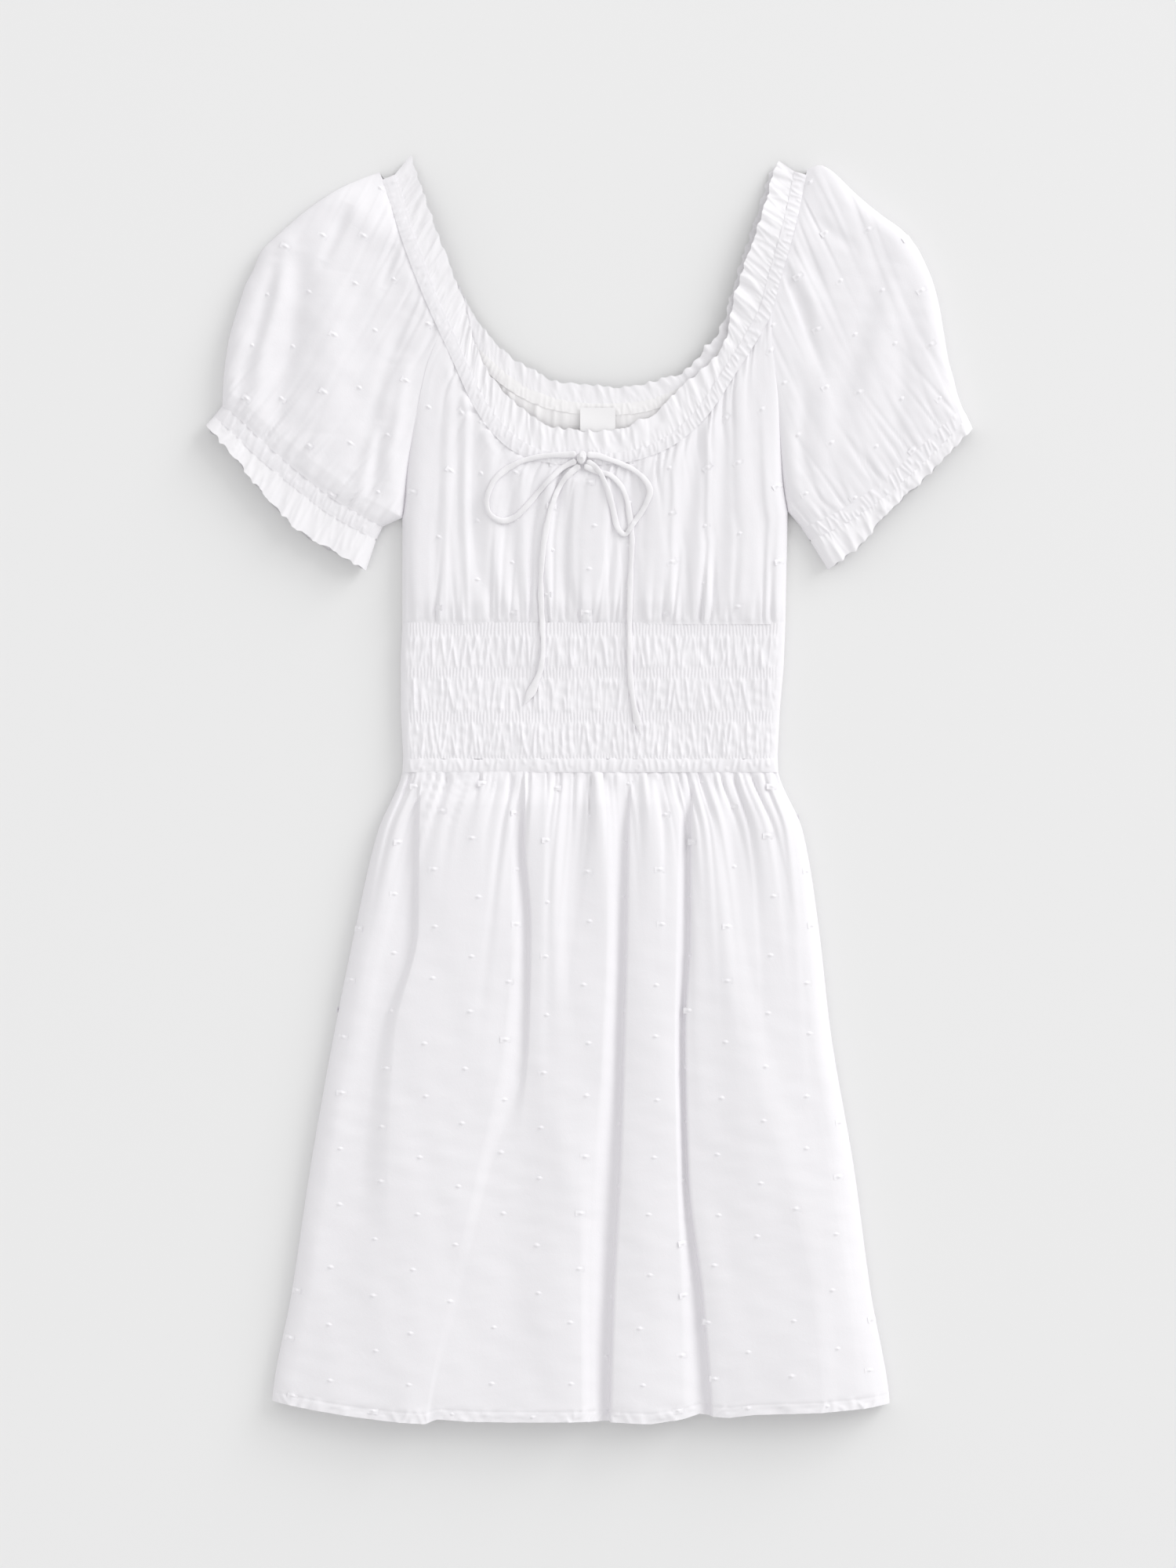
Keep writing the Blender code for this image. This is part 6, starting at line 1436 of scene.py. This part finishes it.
# Line between the back neck casing and its frill.
BACK_FRILL_BASE = [  # x, y
    (-135.4, 427.0), (-130.0, 407.9), (-124.0, 388.9), (-116.9, 368.7), (-108.2, 349.1),
    (-100.0, 333.8), (-90.2, 321.3), (-81.5, 310.4), (-70.6, 299.5), (-60.2, 290.2), (-49.3, 282.0),
    (-34.0, 274.4), (-18.2, 269.5), (-0.8, 267.3), (21.0, 267.3), (38.4, 269.5), (55.3, 275.0),
    (70.0, 282.6), (82.6, 294.0), (93.5, 308.7), (104.4, 322.9), (109.8, 336.0), (114.7, 350.7),
    (121.3, 370.3), (127.3, 387.8), (133.3, 407.9), (142.5, 430.3),
]

# Free edge of the back neck frill.
BACK_FRILL_EDGE = [  # x, y
    (-126.7, 437.4), (-119.6, 415.6), (-112.5, 395.4), (-104.4, 374.7), (-94.5, 356.2),
    (-86.9, 342.0), (-79.3, 328.9), (-71.1, 316.9), (-60.8, 305.5), (-49.9, 296.8), (-36.8, 289.7),
    (-25.3, 283.7), (-11.7, 282.0), (1.9, 280.4), (19.9, 278.8), (36.3, 280.9), (52.6, 284.8),
    (65.7, 289.7), (75.5, 299.5), (84.2, 309.8), (91.8, 320.7), (96.2, 333.8), (100.6, 350.7),
    (107.1, 370.3), (113.1, 388.9), (119.1, 408.5), (127.8, 432.5),
]

print("free edge of the front ruffle", round(float(arc(curve(NECK_FRILL_EDGE))[-1])), "mm")

# %% Neck casing and ruffle, front and back
OVERLAP = 0.5                  # how far a casing or a ruffle reaches past the seam that it hangs from


def strip(line_a, line_b, height_a, height_b, relief, columns, rows, seed):
    """Strip between two lines; relief(place, out, seed) gives its raised form and how far it leans out."""
    s = np.linspace(0.0, 1.0, columns)
    t, plan, length, outward = band(line_a, line_b, s, rows)
    rise, reach = relief(length[None, :], t, seed)
    z = height_a(s) * (1.0 - t) + height_b(s) * t + rise
    return np.concatenate([plan + reach[..., None] * outward, z[..., None]], axis=-1)


def frill_foot(s):
    """Height of the front ruffle at its casing."""
    return neck_height(s) - 0.2


def frill_free(s):
    """Height of the front ruffle's free edge: 0.8 lower than the casing, except at the shoulders."""
    return neck_height(s) - 0.8 * ease(np.minimum(s, 1.0 - s) / 0.06)


def back_frill_foot(s):
    """Height of the back ruffle at its casing."""
    return lifted(s) - 0.05


def low_casing(place, out, seed):
    """The casing's puckers at 0.6 of their height, above the table."""
    rise, reach = casing_relief(place, out, seed)
    return 0.6 * rise + 1.1, reach


def low_frill(place, out, seed):
    """The ruffle's pleats at 0.6 of their height, above the table."""
    rise, reach = frill_relief(place, out, seed)
    return 0.6 * (rise - rise.min()) + 0.3, reach


def neck_casing(seam, line, *rest):
    """Strip from just inside the neck seam to just past the ruffle's foot."""
    return strip(towards(seam, line, -OVERLAP), towards(line, seam, 0.1 - OVERLAP), *rest)


grid = neck_casing(NECK_SEAM, NECK_FRILL_BASE, neck_height, neck_height, casing_relief, 1000, 14, 101)
piece = cloth_piece("neck_casing_front", grid, plain_cotton, thick=0.5)
grid = strip(towards(NECK_FRILL_BASE, NECK_FRILL_EDGE, -OVERLAP), NECK_FRILL_EDGE, frill_foot, frill_free,
             frill_relief, 1000, 20, 111)
piece = cloth_piece("neck_frill_front", grid, frill_cotton_painted_light, thick=0.4)
grid = neck_casing(BACK_SEAM, BACK_FRILL_BASE, lifted, lifted, low_casing, 760, 12, 121)
piece = cloth_piece("neck_casing_back", grid, inside_cotton_painted_light, thick=0.5)
grid = strip(towards(BACK_FRILL_BASE, BACK_FRILL_EDGE, -OVERLAP), BACK_FRILL_EDGE, back_frill_foot, lifted,
             low_frill, 800, 16, 131)
piece = cloth_piece("neck_frill_back", grid, frill_cotton_painted_light, thick=0.4)

# %% [markdown]
# ## Tie
# A narrow tube of cloth comes out at the middle of the neck casing and is tied in a bow.
# It is limp, so it lies on the cloth and follows its folds. It could be a curve with a
# round bevel, but a pressed tube of cloth is nearly flat. So a flat profile is carried along
# each route. The routes are those of the part's own tie, seen from above. The height is
# read from the cloth below, which is why the tie comes after the panels, and each part
# lies on the parts before it. The tails widen a little before their slanted ends.

# %% Tie: routes and the cloth below them
TIE_WIDTH = 3.9
TIE_FLATNESS = 0.42            # height of the tube over its width
TIE_TWIST = 0.2                # radians
KNOT_CENTRE = (-5.2, 229.4, 16.2)
KNOT_SIZE = (3.3, 4.4, 2.5)    # half its width, length and height
TIE_ROUTES = {  # x, y of each part of the tie, from the knot (mm)
    "tie_tail_left": [
        (-6.2, 224.2), (-13.5, 218.4), (-19.4, 211.2), (-23.4, 202.8), (-26.6, 194.0), (-28.8, 185.0),
        (-30.5, 175.8), (-31.8, 166.6), (-32.7, 157.3), (-33.3, 148.0), (-33.5, 138.6), (-33.3, 129.3),
        (-32.9, 120.0), (-32.3, 110.7), (-31.9, 101.3), (-32.2, 92.0), (-33.7, 82.8), (-36.9, 74.1),
        (-40.9, 65.6), (-45.5, 57.5),
    ],
    "tie_tail_right": [
        (-3.6, 224.2), (4.9, 220.0), (14.2, 217.3), (21.4, 210.8), (25.7, 202.0), (27.6, 192.4),
        (28.9, 182.8), (29.7, 173.0), (29.5, 163.2), (29.1, 153.5), (28.6, 143.7), (28.3, 133.9),
        (28.1, 124.1), (28.0, 114.4), (28.1, 104.6), (28.2, 94.8), (28.3, 85.0), (28.9, 75.3),
        (29.9, 65.5), (31.4, 55.9), (33.5, 46.3), (35.7, 36.8),
    ],
    "tie_loop_left": [
        (-8.6, 231.6), (-17.3, 231.4), (-26.0, 231.0), (-34.6, 230.0), (-43.1, 228.2), (-51.1, 224.9),
        (-58.6, 220.5), (-64.9, 214.6), (-69.2, 207.1), (-71.1, 198.7), (-68.9, 190.5), (-61.7, 185.8),
        (-53.3, 187.1), (-46.5, 192.5), (-40.7, 198.9), (-35.1, 205.6), (-29.3, 212.0), (-23.2, 218.2),
        (-16.5, 223.7), (-8.6, 227.1),
    ],
    "tie_loop_right": [
        (-1.8, 231.6), (7.0, 230.5), (15.3, 227.6), (23.7, 224.6), (31.5, 220.5), (38.1, 214.6),
        (42.2, 206.8), (40.0, 198.4), (35.6, 190.7), (30.5, 183.5), (25.3, 176.3), (19.9, 180.4),
        (17.6, 189.0), (15.6, 197.6), (13.1, 206.1), (9.9, 214.4), (5.3, 221.9), (-1.8, 227.1),
    ],
}
under_tie = np.vstack([grids[name][::2, ::2].reshape(-1, 3) for name in (
    "bodice_front_cloth", "waist_front_cloth", "neck_casing_front_cloth")])
print("points of cloth under the tie", len(under_tie))


# %% Tie: pressed tube
def laid_on(path, half):
    """Height of the tie: the highest cloth near each point, evened out along the path.

    Near the knot it runs into the knot's own height.
    """
    near = [np.hypot(*(under_tie[:, :2] - spot).T) < 2.2 for spot in path[:, :2]]
    high = np.array([under_tie[close, 2].max() for close in near])
    reach = np.abs(np.arange(-9, 10))
    weight = np.exp(-(reach / 4.5) ** 2)
    even = np.convolve(np.pad(high, 9, mode="edge"), weight / weight.sum(), mode="valid")
    z = 0.5 * (even + np.maximum(even, high)) + half + 0.1
    from_knot = np.hypot(*(path[:, :2] - np.array(KNOT_CENTRE[:2])).T)
    to_knot = 1.0 - ease((from_knot - 3.0) / 7.0)
    return z * (1.0 - to_knot) + KNOT_CENTRE[2] * to_knot


def ring_mesh(name, points, flat=None):
    """Closed mesh of rings of points, with a face over each end; flat holds flat-cloth coordinates."""
    rows, around = points.shape[:2]
    index = np.arange(rows * around).reshape(rows, around)
    turned = np.roll(index, -1, axis=1)
    quads = np.stack([index[:-1], turned[:-1], turned[1:], index[1:]], axis=-1).reshape(-1, 4)
    mesh = bpy.data.meshes.new(name)
    faces = quads.tolist() + [index[0, ::-1].tolist(), index[-1].tolist()]
    mesh.from_pydata((points.reshape(-1, 3) * MM).tolist(), [], faces)
    layer = mesh.uv_layers.new(name="cloth")
    if flat is not None:
        loops = np.empty(len(mesh.loops), np.int32)
        mesh.loops.foreach_get("vertex_index", loops)
        layer.data.foreach_set("uv", flat.reshape(-1, 2)[loops].astype(np.float32).ravel())
    mesh.polygons.foreach_set("use_smooth", np.ones(len(mesh.polygons), bool))
    mesh.materials.append(tie_cotton)
    return mesh


def tie_part(node, route):
    """Pressed tube along a route: half width cos(a), half height TIE_FLATNESS sin(a), softly wrinkled."""
    path = along([(x, y, 0.0) for x, y in route], np.linspace(0.0, 1.0, 10 * len(route)))
    path[:, 2] = laid_on(path, 0.5 * TIE_WIDTH * TIE_FLATNESS)
    step = np.gradient(path, axis=0)
    step /= np.linalg.norm(step, axis=1)[:, None]
    side = np.cross(step, np.array([0.0, 0.0, 1.0]))
    side /= np.linalg.norm(side, axis=1)[:, None]
    lift = np.cross(side, step)
    length = arc(path)
    left_over = length[-1] - length
    angle = np.linspace(0.0, 2 * np.pi, 16, endpoint=False)
    wrinkle = 1.0 + 0.05 * np.sin(length / 1.9)[:, None] * np.cos(3 * angle)[None, :]
    ends = np.sqrt(np.clip(np.minimum(length, left_over) / (0.4 * TIE_WIDTH), 0.0, 1.0))[:, None]
    broad = 1.0 + 0.10 * np.sin(length / 8.3 + 1.0) + 0.07 * np.sin(length / 3.7)
    if "tail" in node:
        broad = broad * (1.0 + 0.45 * np.exp(-((left_over - 11.0) / 6.0) ** 2))
        broad = broad * np.clip(left_over / 9.0, 0.05, 1.0) ** 0.6
    broad = broad[:, None]
    across = 0.5 * TIE_WIDTH * np.cos(angle)[None, :] * wrinkle * ends * broad
    high = 0.5 * TIE_WIDTH * TIE_FLATNESS * np.sin(angle)[None, :] * wrinkle * ends * np.minimum(broad, 1.0)
    spin = TIE_TWIST * np.sin(length / 17.0)[:, None]
    sideways = across * np.cos(spin) - high * np.sin(spin)
    upwards = across * np.sin(spin) + high * np.cos(spin)
    points = path[:, None] + sideways[..., None] * side[:, None] + upwards[..., None] * lift[:, None]
    flat = np.stack(np.broadcast_arrays(0.5 * TIE_WIDTH * angle[None, :], length[:, None]), axis=-1) * MM
    piece = bpy.data.objects.new(node + "_cloth", ring_mesh(node + "_cloth", points, flat))
    hand_over(piece, node)
    print(piece.name, "length", round(float(length[-1]), 1), "mm")
    return piece, path, float(length[-1]) * MM


tie = {}
for node, route in TIE_ROUTES.items():
    tie[node] = tie_part(node, route)
    under_tie = np.vstack([under_tie, tie[node][1] + [0.0, 0.0, 0.8]])


# %% Tie: knot
def knot_grid(centre, size):
    """Ball of cloth: radius 1 + 0.10 cos(2 a + 3 b) + 0.05 cos(5 b - a) gives the wrapped turns.

    a runs round the ball, and b from pole to pole.
    """
    b = np.linspace(np.pi - 0.02, 0.02, 40)[:, None]
    a = np.linspace(0.0, 2 * np.pi, 72, endpoint=False)[None, :]
    radius = 1.0 + 0.10 * np.cos(2 * a + 3 * b) + 0.05 * np.cos(5 * b - a)
    x = size[0] * radius * np.sin(b) * np.cos(a)
    y = size[1] * radius * np.sin(b) * np.sin(a)
    z = size[2] * radius * np.cos(b) + 0.0 * a
    return np.stack([x, y, z], axis=-1) + np.array(centre)


knot = bpy.data.objects.new("tie_knot_cloth", ring_mesh("tie_knot_cloth", knot_grid(KNOT_CENTRE, KNOT_SIZE)))
hand_over(knot, "tie_knot")
print("knot", [2 * half for half in KNOT_SIZE], "mm")

# %% [markdown]
# ## Label
# A small woven satin label is sewn inside the back of the neck. It could be a plain flat
# box. It is a thin sheet that curls a little at its sides instead, so that it catches the
# light as a loose label does. It is left bare.

# %% Bare label
LABEL_BOX = (-6.3, 18.2, 246.5, 264.5)     # left, right, lower and upper edge
LABEL_HEIGHT = NECK_LIFT + 3.3


def label_grid():
    """Flat rectangle with a curl 0.25 (2 u - 1)^2 at its sides and a faint wave."""
    u = np.linspace(0.0, 1.0, 40)[None, :]
    v = np.linspace(0.0, 1.0, 30)[:, None]
    x = LABEL_BOX[0] + (LABEL_BOX[1] - LABEL_BOX[0]) * u + 0.0 * v
    y = LABEL_BOX[2] + (LABEL_BOX[3] - LABEL_BOX[2]) * v + 0.0 * u
    z = LABEL_HEIGHT + 0.25 * (2.0 * u - 1.0) ** 2 + 0.15 * np.sin(5.0 * v + 2.0 * u)
    return np.stack([x, y, z], axis=-1)


label = cloth_piece("neck_label", label_grid(), satin, thick=0.25, ending="_satin")

# %% [markdown]
# ## Counts, and the end
# The number of pieces and of their faces is printed.

# %% Counts, and the end
print("pieces", len(pieces), "faces", sum(len(piece.data.polygons) for piece in pieces.values()))
